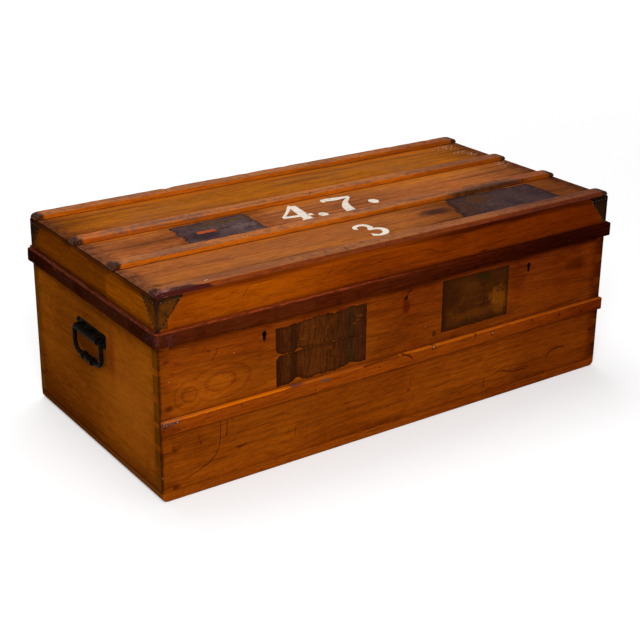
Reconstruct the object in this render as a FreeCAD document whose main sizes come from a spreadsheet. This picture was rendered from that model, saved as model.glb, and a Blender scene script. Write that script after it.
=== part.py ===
"""A blanket chest: a dovetailed travelling trunk with a shallow boxed lid, in millimetres.

The frame: +X runs along the front to the right, +Y to the back and +Z up. The origin is at the middle of
the length and depth, on the plane that the bottom boards rest on.
"""

import FreeCAD, Part
import math
import os
import re

import Sketcher

Vector = FreeCAD.Vector
UP = Vector(0, 0, 1)

# Driving sizes
SIZES = {
    # The box: boards, bottom and the joint between the two boards of a side
    "chest_length": 1000,
    "chest_depth": 486,
    "board": 20,
    "bottom_board": 18,
    "seam_height": 284,
    "side_joint_height": 140,
    "corner_arris": 1.6,
    "bottom_end_round": 11,
    "bottom_edge_round": 3,
    # Dovetails: the tails in a row, their share of it and the length in which a side leans by one
    "side_tails": 3,
    "lid_tails": 2,
    "tail_share": 0.75,
    "dovetail_lean": 6,
    # The strip over the joint of the front's two boards
    "side_batten_width": 25,
    "side_batten": 9,
    "side_batten_round": 2.4,
    # The lid: its rim, its top boards and the battens on them
    "seam_gap": 0.3,
    "lid_height": 81.7,
    "lid_board": 12,
    "lid_end_round": 5,
    "lid_batten_width": 27,
    "lid_batten": 9,
    "lid_batten_end_round": 8,
    "lid_batten_setback": 1.5,
    "rear_joint_place": 67,
    "front_joint_place": 80,
    "worn_edge": 1.2,
    # The band round the lid's lower edge
    "band_height": 25,
    "band": 9.5,
    "band_corner_round": 9,
    "band_edge_round": 2,
    # The sheet guards on the lid's corners
    "guard_sheet": 1.2,
    "guard_leg": 48,
    "guard_tip": 3,
    "guard_bend_round": 1.08,
    # The hinges
    "hinge_inset": 170,
    "hinge_length": 75,
    "hinge_leaf": 2,
    "hinge_leaf_width": 20,
    "hinge_knuckles": 5,
    "knuckle_radius": 4.25,
    "knuckle_gap": 0.3,
    "knuckle_relief": 0.4,
    "hinge_pin_radius": 2.2,
    "hinge_pin_play": 0.05,
    "hinge_pin_end": 1.2,
    "hinge_axis_out": 2.3,
    "hinge_screw_share": 0.34,
    "hinge_screw_head": 3.4,
    "hinge_screw_shank": 1.6,
    "hinge_screw_length": 14,
    # The locks
    "lock_inset": 201,
    "lock_width": 70,
    "lock_depth": 12,
    "lock_height": 45,
    "lock_wall": 1.5,
    "lock_flange": 9,
    "lock_ledge": 22,
    "lock_ledge_height": 3,
    "lock_screw_head": 2.6,
    "lock_screw_shank": 1.2,
    "lock_screw_length": 9,
    "lock_screw_share": 0.3,
    "keyhole_drop": 28,
    "keyhole_length": 16,
    "keyhole_head": 3,
    "keyhole_slot": 3.2,
    "link_length": 60,
    "link_plate": 2,
    "link_screw_inset": 3.9,
    "link_loop_near": 10,
    "link_loop_far": 20,
    "link_loop_thick": 5,
    "link_loop_width": 7,
    "link_loop_drop": 12,
    "link_loop_wire": 2,
    "bolt_travel": 8,
    "bolt_plate": 2.4,
    "bolt_bar": 4,
    "bolt_upright": 5,
    "bolt_prong_height": 4,
    "bolt_tail_width": 6,
    "bolt_tail_drop": 10,
    "bolt_play": 0.3,
    "lock_clearance": 1,
    "lock_slot_play": 0.7,
    # The bail handles
    "handle_height": 223,
    "saddle_length": 110,
    "saddle_width": 26,
    "saddle_sheet": 2,
    "saddle_corner_round": 4,
    "saddle_screw_inset": 4.5,
    "saddle_screw_head": 3.6,
    "saddle_screw_head_top": 2.9,
    "saddle_screw_head_height": 1.8,
    "saddle_screw_shank": 1.6,
    "saddle_screw_length": 14,
    "bail_width": 104,
    "bail_drop": 47,
    "bail_rod_radius": 4,
    "bail_axis_out": 9,
    "bail_play": 0.35,
    "bail_side_play": 1,
    "bail_top_round": 8,
    "bail_bottom_round": 18,
    "grip_length": 38,
    "grip_radius": 6.4,
    "grip_bead": 7.4,
    "grip_bead_width": 4,
}

# Places worked out from the sizes
LEFT, RIGHT = -1, 1
FRONT, BACK = -1, 1
END = "(chest_length / 2)"
FACE = "(chest_depth / 2)"
INNER_END = f"({END} - board)"
INNER_FACE = f"({FACE} - board)"
LID_FLOOR = "(seam_height + seam_gap)"
LID_TOP = f"({LID_FLOOR} + lid_height)"
RAIL_TOP = f"({LID_TOP} - lid_board)"
BAND_TOP = f"({LID_FLOOR} + band_height)"
HINGE_X = f"({END} - hinge_inset)"
HINGE_Y = f"({FACE} + hinge_axis_out)"
HINGE_Z = "(seam_height + seam_gap / 2)"
LOCK_X = f"({END} - lock_inset)"
LOCK_Y = f"(-{INNER_FACE} - lock_depth / 2)"
LOOP_LOW = f"({LID_FLOOR} - link_loop_drop)"
BOLT_HIGH = f"({LOOP_LOW} - lock_clearance)"
BOLT_LOW = f"({BOLT_HIGH} - bolt_bar)"
PIECES = []

doc = FreeCAD.newDocument("blanket_chest")
sheet = doc.addObject("Spreadsheet::Sheet", "Sizes")
for row, (alias, value) in enumerate(SIZES.items(), 1):
    sheet.set(f"A{row}", alias)
    sheet.set(f"B{row}", str(value))
    sheet.setAlias(f"B{row}", alias)
doc.recompute()


def full(text):
    """The expression with the sheet's name before each alias."""

    def with_sheet(word):
        return f"Sizes.{word[0]}" if word[0] in SIZES else word[0]

    return re.sub(r"[A-Za-z_]\w*", with_sheet, str(text))


def bind(thing, place, text):
    """Ties a property to an expression in the sheet's sizes."""
    thing.setExpression(place, full(text))


def number(text):
    """What an expression comes to."""
    return float(sheet.evalExpression(str(text)))


def piece(label, place=("0", "0", "0"), turn=0, many=False):
    """A body for one piece, placed by expressions and turned about the upright by degrees."""
    body = doc.addObject("PartDesign::Body", label)
    body.Label = label
    body.AllowCompound = many
    body.Placement = FreeCAD.Placement(Vector(), FreeCAD.Rotation(UP, turn))
    for axis, text in zip("xyz", place):
        bind(body, f"Placement.Base.{axis}", text)
    PIECES.append(body)
    return body


def hold(constraints, expressions, geometry, position, place):
    """Adds constraints that put a point of a sketch at a place given by two expressions."""
    for kind, text, axis in (("DistanceX", place[0], -2), ("DistanceY", place[1], -1)):
        if text == "0":
            constraints.append(Sketcher.Constraint("PointOnObject", geometry, position, axis))
        else:
            expressions.append((len(constraints), text))
            constraints.append(Sketcher.Constraint(kind, geometry, position, number(text)))


def draw_outline(sketch, points):
    """A closed outline through points, each two expressions, and a third where its corner is rounded."""
    count = len(points)
    corners = [Vector(number(point[0]), number(point[1]), 0) for point in points]
    radii = [number(point[2]) if len(point) > 2 else 0 for point in points]
    arrivals, departures, backs, ons = [], [], [], []
    for n, corner in enumerate(corners):
        back = (corners[n - 1] - corner).normalize()
        on = (corners[(n + 1) % count] - corner).normalize()
        reach = radii[n] / math.tan(back.getAngle(on) / 2)
        arrivals.append(corner + back * reach)
        departures.append(corner + on * reach)
        backs.append(back)
        ons.append(on)
    first = sketch.GeometryCount
    sides = [Part.LineSegment(departures[n], arrivals[(n + 1) % count]) for n in range(count)]
    sketch.addGeometry(sides, False)
    constraints, expressions = [], []
    for n, corner in enumerate(corners):
        side_in = first + (n - 1) % count
        side_out = first + n
        if not radii[n]:
            constraints.append(Sketcher.Constraint("Coincident", side_in, 2, side_out, 1))
            hold(constraints, expressions, side_out, 1, points[n])
            continue
        point = sketch.addGeometry(Part.Point(corner), True)
        hold(constraints, expressions, point, 1, points[n])
        constraints.append(Sketcher.Constraint("PointOnObject", point, 1, side_in))
        constraints.append(Sketcher.Constraint("PointOnObject", point, 1, side_out))
        half = backs[n].getAngle(ons[n]) / 2
        centre = corner + (backs[n] + ons[n]).normalize() * (radii[n] / math.sin(half))
        turns_left = backs[n].cross(ons[n]).z < 0
        begin, finish = (arrivals[n], departures[n]) if turns_left else (departures[n], arrivals[n])
        angles = [math.atan2(end.y - centre.y, end.x - centre.x) for end in (begin, finish)]
        arc = sketch.addGeometry(Part.ArcOfCircle(Part.Circle(centre, UP, radii[n]), *angles), False)
        start, stop = (1, 2) if turns_left else (2, 1)
        constraints.append(Sketcher.Constraint("Tangent", side_in, 2, arc, start))
        constraints.append(Sketcher.Constraint("Tangent", arc, stop, side_out, 1))
        expressions.append((len(constraints), points[n][2]))
        constraints.append(Sketcher.Constraint("Radius", arc, radii[n]))
    fix(sketch, constraints, expressions)


def draw_circle(sketch, across, up, radius):
    """A circle round a place given by two expressions."""
    centre = Vector(number(across), number(up), 0)
    circle = sketch.addGeometry(Part.Circle(centre, UP, number(radius)), False)
    constraints, expressions = [], []
    hold(constraints, expressions, circle, 3, (across, up))
    expressions.append((len(constraints), radius))
    constraints.append(Sketcher.Constraint("Radius", circle, number(radius)))
    fix(sketch, constraints, expressions)


def fix(sketch, constraints, expressions):
    """Adds constraints to a sketch and ties their values to the expressions."""
    earlier = sketch.ConstraintCount
    sketch.addConstraint(constraints)
    for index, text in expressions:
        bind(sketch, f"Constraints[{earlier + index}]", text)


def new_sketch(body, plane, shapes, start="0"):
    """A sketch on one of the body's own planes, moved along the plane's positive axis to start.

    Each shape is a list of points, or a tuple of a circle's two coordinates and radius.
    """
    sketch = body.newObject("Sketcher::SketchObject", f"{body.Name}_sketch")
    origin_plane = next(part for part in body.Origin.OriginFeatures if part.Role == f"{plane}_Plane")
    sketch.AttachmentSupport = [(origin_plane, "")]
    sketch.MapMode = "FlatFace"
    bind(sketch, "AttachmentOffset.Base.z", f"-({start})" if plane == "XZ" else start)
    for shape in shapes:
        if isinstance(shape, tuple):
            draw_circle(sketch, *shape)
        else:
            draw_outline(sketch, shape)
    return sketch


def add(body, plane, shapes, start, length):
    """Adds the shapes to a body, from start on and for a length along the plane's positive axis."""
    sketch = new_sketch(body, plane, shapes, start)
    pad = body.newObject("PartDesign::Pad", f"{body.Name}_pad")
    pad.Profile = sketch
    pad.Reversed = plane == "XZ"
    bind(pad, "Length", length)
    return pad


def cut(body, plane, shapes, start, length):
    """Cuts the shapes out of a body, from start on and for a length along the plane's positive axis."""
    sketch = new_sketch(body, plane, shapes, start)
    pocket = body.newObject("PartDesign::Pocket", f"{body.Name}_pocket")
    pocket.Profile = sketch
    pocket.Reversed = plane != "XZ"
    bind(pocket, "Length", length)
    return pocket


def ease(body, radius, wanted):
    """Rounds those edges of a body for whose bounding box wanted is true."""
    doc.recompute()
    base = body.Tip
    names = [f"Edge{n}" for n, edge in enumerate(base.Shape.Edges, 1) if wanted(edge.BoundBox)]
    fillet = body.newObject("PartDesign::Fillet", f"{body.Name}_fillet")
    fillet.Base = (base, names)
    bind(fillet, "Radius", radius)
    return fillet


def same(*values):
    """Whether numbers are alike but for rounding."""
    return max(values) - min(values) < Part.Precision.confusion() * number("chest_length")


def block(left, right, low, high, radius=None):
    """The four points of a rectangle, rounded at every corner where a radius is given."""
    corners = [(left, low), (right, low), (right, high), (left, high)]
    return [corner + (radius,) for corner in corners] if radius else corners


# Dovetails
def row_sizes(bottom, top, tails):
    """The pitch of a row and half of a pin at its narrow end and at its root."""
    pitch = f"(({top} - {bottom}) / {tails})"
    narrow = f"({pitch} * (1 - tail_share) / 2)"
    return pitch, narrow, f"({narrow} + board / dovetail_lean)"


def tail_side(side, bottom, top, tails):
    """The points of a tail board's end from its lower to its upper corner."""
    end = f"{side} * {END}"
    root = f"{side} * {INNER_END}"
    pitch, narrow, wide = row_sizes(bottom, top, tails)
    points = [(root, bottom)]
    for n in range(tails):
        low = f"{bottom} + {pitch} * {n}"
        high = f"{bottom} + {pitch} * {n + 1}"
        points.append((root, f"{low} + {wide}"))
        points.append((end, f"{low} + {narrow}"))
        points.append((end, f"{high} - {narrow}"))
        points.append((root, f"{high} - {wide}"))
    return points + [(root, top)]


def pins(side, bottom, top, tails):
    """The pins of a row: a half one at each end and whole ones between."""
    end = f"{side} * {END}"
    root = f"{side} * {INNER_END}"
    pitch, narrow, wide = row_sizes(bottom, top, tails)
    lowest = [(end, bottom), (end, f"{bottom} + {narrow}"), (root, f"{bottom} + {wide}"), (root, bottom)]
    highest = [(end, top), (end, f"{top} - {narrow}"), (root, f"{top} - {wide}"), (root, top)]
    outlines = [lowest, highest]
    for n in range(1, tails):
        centre = f"{bottom} + {pitch} * {n}"
        lower = [(root, f"{centre} - {wide}"), (end, f"{centre} - {narrow}")]
        upper = [(end, f"{centre} + {narrow}"), (root, f"{centre} + {wide}")]
        outlines.append(lower + upper)
    return outlines


def wear_corners(body, corners, bottom, top):
    """Takes the sharp arris off upright corners of the box, each given as its side and face."""
    for side, face in corners:
        end, front = f"{side} * {END}", f"{face} * {FACE}"
        along_front = (f"{side} * ({END} - corner_arris)", front)
        along_end = (end, f"{face} * ({FACE} - corner_arris)")
        cut(body, "XY", [[(end, front), along_front, along_end]], bottom, f"{top} - {bottom}")


def tail_board(label, face, bottom, top, tails):
    """A long board whose ends are cut as a row of tails, at the front or the back."""
    body = piece(label)
    outline = tail_side(LEFT, bottom, top, tails) + tail_side(RIGHT, bottom, top, tails)[::-1]
    start = f"-{FACE}" if face == FRONT else INNER_FACE
    add(body, "XZ", [outline], start, "board")
    wear_corners(body, [(LEFT, face), (RIGHT, face)], bottom, top)
    return body


def pin_board(label, side, rows):
    """A short board between the long ones, with pins that reach through them."""
    body = piece(label)
    start = f"-{END}" if side == LEFT else INNER_END
    bottom = rows[0][0]
    top = rows[-1][1]
    add(body, "YZ", [block(f"-{INNER_FACE}", INNER_FACE, bottom, top)], start, "board")
    for row in rows:
        add(body, "XZ", pins(side, *row), f"-{FACE}", "chest_depth")
    wear_corners(body, [(side, FRONT), (side, BACK)], bottom, top)
    return body


# Countersunk screws and the seats of hinges and locks
def add_screws(body, plane, places, surface, inward, sheet, head, shank, length):
    """Adds countersunk screws, their heads flush in a sheet; inward is 1 or -1 along the plane's axis."""
    start = f"{surface} + {sheet}" if inward > 0 else f"{surface} - {length}"
    add(body, plane, [(across, up, shank) for across, up in places], start, f"{length} - {sheet}")
    for across, up in places:
        pad = add(body, plane, [(across, up, head)], surface, sheet)
        pad.Reversed = pad.Reversed if inward > 0 else not pad.Reversed
        bind(pad, "TaperAngle", f"-atan(({head} - {shank}) / {sheet})")


def sink_screws(body, plane, places, surface, inward, sheet, head, shank):
    """Cuts the countersunk holes of such screws through a sheet."""
    for across, up in places:
        pocket = cut(body, plane, [(across, up, head)], surface, sheet)
        pocket.Reversed = pocket.Reversed if inward > 0 else not pocket.Reversed
        bind(pocket, "TaperAngle", f"-atan(({head} - {shank}) / {sheet})")


def drill(body, plane, places, surface, inward, sheet, shank, length):
    """Drills the holes that such screws' shanks fill, behind the sheet."""
    start = f"{surface} + {sheet}" if inward > 0 else f"{surface} - {length}"
    cut(body, plane, [(across, up, shank) for across, up in places], start, f"{length} - {sheet}")


def seat_leaves(body, edge, upward):
    """Lets both hinges' leaves into an edge of a back board, and clears their knuckles and screws."""
    for side in (LEFT, RIGHT):
        near = f"{side} * {HINGE_X} - hinge_length / 2"
        far = f"{side} * {HINGE_X} + hinge_length / 2"
        seat = block(near, far, f"{FACE} - hinge_leaf_width", FACE)
        cut(body, "XY", [seat], edge if upward else f"{edge} - hinge_leaf", "hinge_leaf")
        relief = (HINGE_Y, HINGE_Z, "knuckle_radius + knuckle_relief")
        length = "hinge_length + 2 * knuckle_relief + 2 * hinge_pin_end"
        cut(body, "YZ", [relief], f"{near} - knuckle_relief - hinge_pin_end", length)
    screw = ("hinge_leaf", "hinge_screw_shank", "hinge_screw_length")
    drill(body, "XY", hinge_screw_places(), edge, 1 if upward else -1, *screw)


def hinge_screw_places():
    """Where the screws of both hinges stand."""
    leaf_middle = f"({FACE} - hinge_leaf_width / 2 - knuckle_radius / 2)"
    places = []
    for side in (LEFT, RIGHT):
        for step in (-1, 0, 1):
            places.append((f"{side} * {HINGE_X} + {step} * hinge_screw_share * hinge_length", leaf_middle))
    return places


def keyhole(x):
    """The outline of a keyhole: a round head on a slot."""
    middle = "(seam_height - keyhole_drop)"
    head = f"{middle} + keyhole_length / 2 - keyhole_head"
    foot = f"{middle} - keyhole_length / 2"
    slot = block(f"{x} - keyhole_slot / 2", f"{x} + keyhole_slot / 2", foot, head)
    return slot, (x, head, "keyhole_head")


def case_screw_places(x):
    """Where the four screws of a lock stand in its flanges, seen from the front."""
    places = []
    for side in (-1, 1):
        for share in ("lock_screw_share", "(1 - lock_screw_share)"):
            across = f"{x} + {side} * (lock_width + lock_flange) / 2"
            places.append((across, f"seam_height - lock_height * {share}"))
    return places


def link_screw_places(x, y=None):
    """Where the two screws of a link's plate stand, seen from below."""
    middle = LOCK_Y if y is None else y
    return [(f"{x} + {side} * (link_length / 2 - link_screw_inset)", middle) for side in (-1, 1)]


# The box
def make_box():
    """The front, back, ends, bottom and the strip over the front's joint."""
    lower_row = ("bottom_board", "side_joint_height", int(number("side_tails")))
    upper_row = ("side_joint_height", "seam_height", int(number("side_tails")))
    tail_board("front_lower_board", FRONT, *lower_row)
    front = tail_board("front_upper_board", FRONT, *upper_row)
    for side in (LEFT, RIGHT):
        x = f"{side} * {LOCK_X}"
        low = "seam_height - lock_height"
        mortise = block(f"{x} - lock_width / 2", f"{x} + lock_width / 2", low, "seam_height")
        cut(front, "XZ", [mortise], f"-{INNER_FACE} - lock_depth", "lock_depth")
        reach = "(lock_width / 2 + lock_flange)"
        recess = block(f"{x} - {reach}", f"{x} + {reach}", low, "seam_height")
        cut(front, "XZ", [recess], f"-{INNER_FACE} - lock_wall", "lock_wall")
        places = case_screw_places(x)
        screw = ("lock_wall", "lock_screw_shank", "lock_screw_length")
        drill(front, "XZ", places, f"-{INNER_FACE}", -1, *screw)
        slot, head = keyhole(x)
        cut(front, "XZ", [slot], f"-{FACE}", "board - lock_depth")
        cut(front, "XZ", [head], f"-{FACE}", "board - lock_depth")
    tail_board("back_lower_board", BACK, *lower_row)
    back = tail_board("back_upper_board", BACK, *upper_row)
    seat_leaves(back, "seam_height", False)
    for label, side in (("left_end_board", LEFT), ("right_end_board", RIGHT)):
        end_board = pin_board(label, side, [lower_row, upper_row])
        start = f"-{END}" if side == LEFT else f"{END} - saddle_screw_length + saddle_sheet"
        holes = [(y, z, "saddle_screw_shank") for y, z in saddle_screw_places("handle_height")]
        cut(end_board, "YZ", holes, start, "saddle_screw_length - saddle_sheet")
    make_bottom()
    batten = piece("front_batten")
    low = "side_joint_height - side_batten_width / 2"
    high = "side_joint_height + side_batten_width / 2"
    add(batten, "XZ", [block(f"-{END}", END, low, high)], f"-{FACE} - side_batten", "side_batten")
    outer = -number(f"{FACE} + side_batten")
    ease(batten, "side_batten_round", lambda box: same(box.YMin, box.YMax, outer))


def make_bottom():
    """Three boards nailed on under the sides, with their ends and the outer edges worn round."""
    third = "(chest_depth / 3)"
    lower = [(f"-{END}", "0", "bottom_end_round"), (END, "0", "bottom_end_round")]
    upper = [(END, "bottom_board"), (f"-{END}", "bottom_board")]
    top = number("bottom_board")
    for n, label in enumerate(("bottom_front_board", "bottom_middle_board", "bottom_back_board")):
        body = piece(label)
        add(body, "XZ", [lower + upper], f"-{FACE} + {n} * {third}", third)
        if label != "bottom_middle_board":
            outer = number(f"-{FACE}" if n == 0 else FACE)
            ease(
                body,
                "bottom_edge_round",
                lambda box: same(box.YMin, box.YMax, outer) and not same(box.ZMin, top),
            )


# The lid
def make_lid():
    """The dovetailed rim, the top boards, the battens on them, the band and the corner guards."""
    row = (LID_FLOOR, RAIL_TOP, int(number("lid_tails")))
    front = tail_board("lid_front_rail", FRONT, *row)
    for side in (LEFT, RIGHT):
        x = f"{side} * {LOCK_X}"
        near, far = f"{x} - link_length / 2", f"{x} + link_length / 2"
        recess = block(near, far, f"-{INNER_FACE} - lock_depth", f"-{INNER_FACE}")
        cut(front, "XY", [recess], LID_FLOOR, "link_plate")
        places = link_screw_places(x)
        drill(front, "XY", places, LID_FLOOR, 1, "link_plate", "lock_screw_shank", "lock_screw_length")
    back = tail_board("lid_back_rail", BACK, *row)
    seat_leaves(back, LID_FLOOR, True)
    pin_board("lid_left_rail", LEFT, [row])
    pin_board("lid_right_rail", RIGHT, [row])
    joints = [f"-{FACE}", "-front_joint_place", "rear_joint_place", FACE]
    for n, label in enumerate(("lid_front_board", "lid_middle_board", "lid_rear_board")):
        body = piece(label)
        low, high = RAIL_TOP, LID_TOP
        worn = [(END, high, "lid_end_round"), (f"-{END}", high, "lid_end_round")]
        outline = [(f"-{END}", low), (END, low)] + worn
        add(body, "XZ", [outline], joints[n], f"{joints[n + 1]} - ({joints[n]})")
    battens = {
        "lid_batten_front": f"-{FACE} + lid_batten_width / 2",
        "lid_batten_mid_front": "-front_joint_place",
        "lid_batten_mid_rear": "rear_joint_place",
        "lid_batten_rear": f"{FACE} - lid_batten_width / 2",
    }
    for label, middle in battens.items():
        body = piece(label)
        reach = f"({END} - lid_batten_setback)"
        high = f"{LID_TOP} + lid_batten"
        ends = [(reach, high, "lid_batten_end_round"), (f"-{reach}", high, "lid_batten_end_round")]
        outline = [(f"-{reach}", LID_TOP), (reach, LID_TOP)] + ends
        add(body, "XZ", [outline], f"{middle} - lid_batten_width / 2", "lid_batten_width")
        top = number(high)
        ease(body, "worn_edge", lambda box: same(box.ZMax, top) and same(box.YMin, box.YMax))


def make_band():
    """Four strips round the lid's lower edge.

    The front one covers the side ones' ends. The back one, the lid's stop, lies between the corners.
    """
    reach = f"({END} + band)"
    corners = block(f"-{reach}", reach, f"-{FACE} - band", f"-{FACE}")
    worn = [corner + ("band_corner_round",) for corner in corners[:2]]
    top = number(BAND_TOP)
    for label, face, outline in (
        ("band_front", FRONT, worn + corners[2:]),
        ("band_back", BACK, block(f"-{END}", END, FACE, f"{FACE} + band")),
    ):
        body = piece(label)
        add(body, "XY", [outline], LID_FLOOR, "band_height")
        inner = number(f"{face} * {FACE}")
        ease(
            body,
            "band_edge_round",
            lambda box: same(box.ZMin, box.ZMax, top) and not same(box.YMin, box.YMax, inner),
        )
        if face == BACK:
            for side in (LEFT, RIGHT):
                half = "(hinge_length / 2 + hinge_pin_end + knuckle_relief)"
                high = f"{HINGE_Z} + knuckle_radius + knuckle_relief"
                notch = block(f"{side} * {HINGE_X} - {half}", f"{side} * {HINGE_X} + {half}", LID_FLOOR, high)
                cut(body, "XZ", [notch], FACE, "band")
    for label, side in (("band_left", LEFT), ("band_right", RIGHT)):
        body = piece(label)
        start = f"-{reach}" if side == LEFT else END
        add(body, "YZ", [block(f"-{FACE}", FACE, LID_FLOOR, BAND_TOP)], start, "band")
        outer = number(f"{side} * {reach}")
        ease(
            body,
            "band_edge_round",
            lambda box: same(box.ZMin, box.ZMax, top) and same(box.XMin, box.XMax, outer),
        )


def make_guards():
    """Sheet guards, bent round the lid's corners and cut to a tip at the band."""
    top = f"({LID_TOP} - lid_end_round - {BAND_TOP})"
    corners = {
        "corner_guard_front_left": (LEFT, FRONT, 0),
        "corner_guard_front_right": (RIGHT, FRONT, 90),
        "corner_guard_back_right": (RIGHT, BACK, 180),
        "corner_guard_back_left": (LEFT, BACK, 270),
    }
    for label, (side, face, turn) in corners.items():
        body = piece(label, (f"{side} * {END}", f"{face} * {FACE}", BAND_TOP), turn)
        leg = [("-guard_sheet", "0"), ("guard_tip", "0"), ("guard_leg", top), ("-guard_sheet", top)]
        add(body, "XZ", [leg], "-guard_sheet", "guard_sheet")
        add(body, "YZ", [leg], "-guard_sheet", "guard_sheet")
        bend = -number("guard_sheet")
        ease(
            body,
            "guard_bend_round",
            lambda box: same(box.XMin, box.XMax, bend) and same(box.YMin, box.YMax, bend),
        )


# The hinges
def knuckle_ends(n):
    """Where a knuckle of a hinge starts, and its length."""
    pitch = "(hinge_length / hinge_knuckles)"
    return f"-hinge_length / 2 + {pitch} * {n} + knuckle_gap / 2", f"({pitch} - knuckle_gap)"


def make_leaf(label, side, upper):
    """A leaf with its knuckles: the lower leaf has the odd ones and both ends."""
    body = piece(label, (f"{side} * {HINGE_X}", HINGE_Y, HINGE_Z))
    back_edge = "-(hinge_leaf_width + hinge_axis_out)"
    shoulder = "-(knuckle_radius + knuckle_gap)"
    start = "seam_gap / 2" if upper else "-seam_gap / 2 - hinge_leaf"
    own = range(1 if upper else 0, int(number("hinge_knuckles")), 2)
    plate = block("-hinge_length / 2", "hinge_length / 2", back_edge, shoulder)
    add(body, "XY", [plate], start, "hinge_leaf")
    for n in own:
        begin, length = knuckle_ends(n)
        add(body, "XY", [block(begin, f"{begin} + {length}", shoulder, "0")], start, "hinge_leaf")
        add(body, "YZ", [("0", "0", "knuckle_radius")], begin, length)
    bore = ("0", "0", "hinge_pin_radius + hinge_pin_play")
    cut(body, "YZ", [bore], "-hinge_length / 2", "hinge_length")
    along = "-(hinge_leaf_width + knuckle_radius) / 2 - hinge_axis_out"
    places = [(f"{step} * hinge_screw_share * hinge_length" if step else "0", along) for step in (-1, 0, 1)]
    surface, inward = ("seam_gap / 2", 1) if upper else ("-seam_gap / 2", -1)
    sink_screws(body, "XY", places, surface, inward, "hinge_leaf", "hinge_screw_head", "hinge_screw_shank")
    return body


def make_hinges():
    """Two butt hinges, their pins and their screws."""
    for name, side in (("left", LEFT), ("right", RIGHT)):
        make_leaf(f"hinge_{name}_lower_leaf", side, False)
        make_leaf(f"hinge_{name}_upper_leaf", side, True)
        pin = piece(f"hinge_{name}_pin", (f"{side} * {HINGE_X}", HINGE_Y, HINGE_Z))
        add(pin, "YZ", [("0", "0", "hinge_pin_radius")], "-hinge_length / 2", "hinge_length")
        for start in ("-hinge_length / 2 - hinge_pin_end", "hinge_length / 2"):
            add(pin, "YZ", [("0", "0", "(hinge_pin_radius + knuckle_radius) / 2")], start, "hinge_pin_end")
    for label, upper in (("hinge_lower_screws", False), ("hinge_upper_screws", True)):
        screws = piece(label, many=True)
        surface, inward = (LID_FLOOR, 1) if upper else ("seam_height", -1)
        screw = ("hinge_leaf", "hinge_screw_head", "hinge_screw_shank", "hinge_screw_length")
        add_screws(screws, "XY", hinge_screw_places(), surface, inward, *screw)


# The locks
def make_locks():
    """Two box locks with sliding bolts, and the loops on the lid that the bolts catch."""
    case_screws = piece("lock_case_screws", many=True)
    link_screws = piece("lock_link_screws", many=True)
    screw = ("lock_screw_head", "lock_screw_shank", "lock_screw_length")
    for name, side in (("left", LEFT), ("right", RIGHT)):
        x = f"{side} * {LOCK_X}"
        make_case(piece(f"lock_{name}_case", (x, LOCK_Y, "0")))
        make_bolt(piece(f"lock_{name}_bolt", (x, LOCK_Y, "0")))
        make_link(piece(f"lock_{name}_link", (x, LOCK_Y, "0")))
        add_screws(case_screws, "XZ", case_screw_places(x), f"-{INNER_FACE}", -1, "lock_wall", *screw)
        add_screws(link_screws, "XY", link_screw_places(x), LID_FLOOR, 1, "link_plate", *screw)


def loop_spans():
    """Where the two loops start and end along the lock."""
    near = "(-link_loop_near - link_loop_thick / 2)"
    far = "(link_loop_far - link_loop_thick / 2)"
    return [(near, f"({near} + link_loop_thick)"), (far, f"({far} + link_loop_thick)")]


def make_case(body):
    """A thin-walled case with ledges that carry the bolt, slots on top and a keyhole in front."""
    half = "(lock_width / 2)"
    low = "(seam_height - lock_height)"
    add(body, "XZ", [block(f"-{half}", half, low, "seam_height")], "-lock_depth / 2", "lock_depth")
    reach = f"({half} + lock_flange)"
    flange = block(f"-{reach}", reach, low, "seam_height")
    add(body, "XZ", [flange], "lock_depth / 2 - lock_wall", "lock_wall")
    screw = ("lock_wall", "lock_screw_head", "lock_screw_shank")
    sink_screws(body, "XZ", case_screw_places("0"), "lock_depth / 2", -1, *screw)
    inside = f"({half} - lock_wall)"
    inner = block(f"-{inside}", inside, f"{low} + lock_wall", "seam_height - lock_wall")
    cut(body, "XZ", [inner], "-lock_depth / 2 + lock_wall", "lock_depth - 2 * lock_wall")
    ledge_top = f"({BOLT_LOW} - bolt_play)"
    ledge_end = f"({half} - lock_ledge)"
    for left, right in ((f"-{inside}", f"-{ledge_end}"), (ledge_end, inside)):
        ledge = block(left, right, f"{ledge_top} - lock_ledge_height", ledge_top)
        add(body, "XZ", [ledge], "-lock_depth / 2 + lock_wall", "lock_depth - 2 * lock_wall")
    slot_half = "(link_loop_width / 2 + lock_slot_play)"
    for start, end in loop_spans():
        slot = block(f"{start} - lock_clearance", f"{end} + lock_clearance", f"-{slot_half}", slot_half)
        cut(body, "XY", [slot], "seam_height - lock_wall", "lock_wall")
    slot, head = keyhole("0")
    cut(body, "XZ", [slot], "-lock_depth / 2", "lock_wall")
    cut(body, "XZ", [head], "-lock_depth / 2", "lock_wall")


def make_bolt(body):
    """A plate that slides sideways: a bar on the ledges, two hooked prongs and a tail for the key."""
    prong_low = f"({LOOP_LOW} + link_loop_wire + lock_clearance)"
    prong_high = f"({prong_low} + bolt_prong_height)"
    half = "bolt_plate / 2"
    tips = [f"({start} - lock_clearance)" for start, end in loop_spans()]
    roots = [f"({start} - bolt_travel - lock_clearance / 2)" for start, end in loop_spans()]
    left = f"({roots[0]} - bolt_upright)"
    right = f"({tips[1]} + bolt_upright)"
    add(body, "XZ", [block(left, right, BOLT_LOW, BOLT_HIGH)], f"-{half}", "bolt_plate")
    for tip, root in zip(tips, roots):
        hook = [
            (f"{root} - bolt_upright", BOLT_HIGH),
            (root, BOLT_HIGH),
            (root, prong_low),
            (tip, prong_low),
            (tip, prong_high),
            (f"{root} - bolt_upright", prong_high),
        ]
        add(body, "XZ", [hook], f"-{half}", "bolt_plate")
    tail = block("-bolt_tail_width", "0", f"{BOLT_LOW} - bolt_tail_drop", BOLT_LOW)
    add(body, "XZ", [tail], f"-{half}", "bolt_plate")


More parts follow.
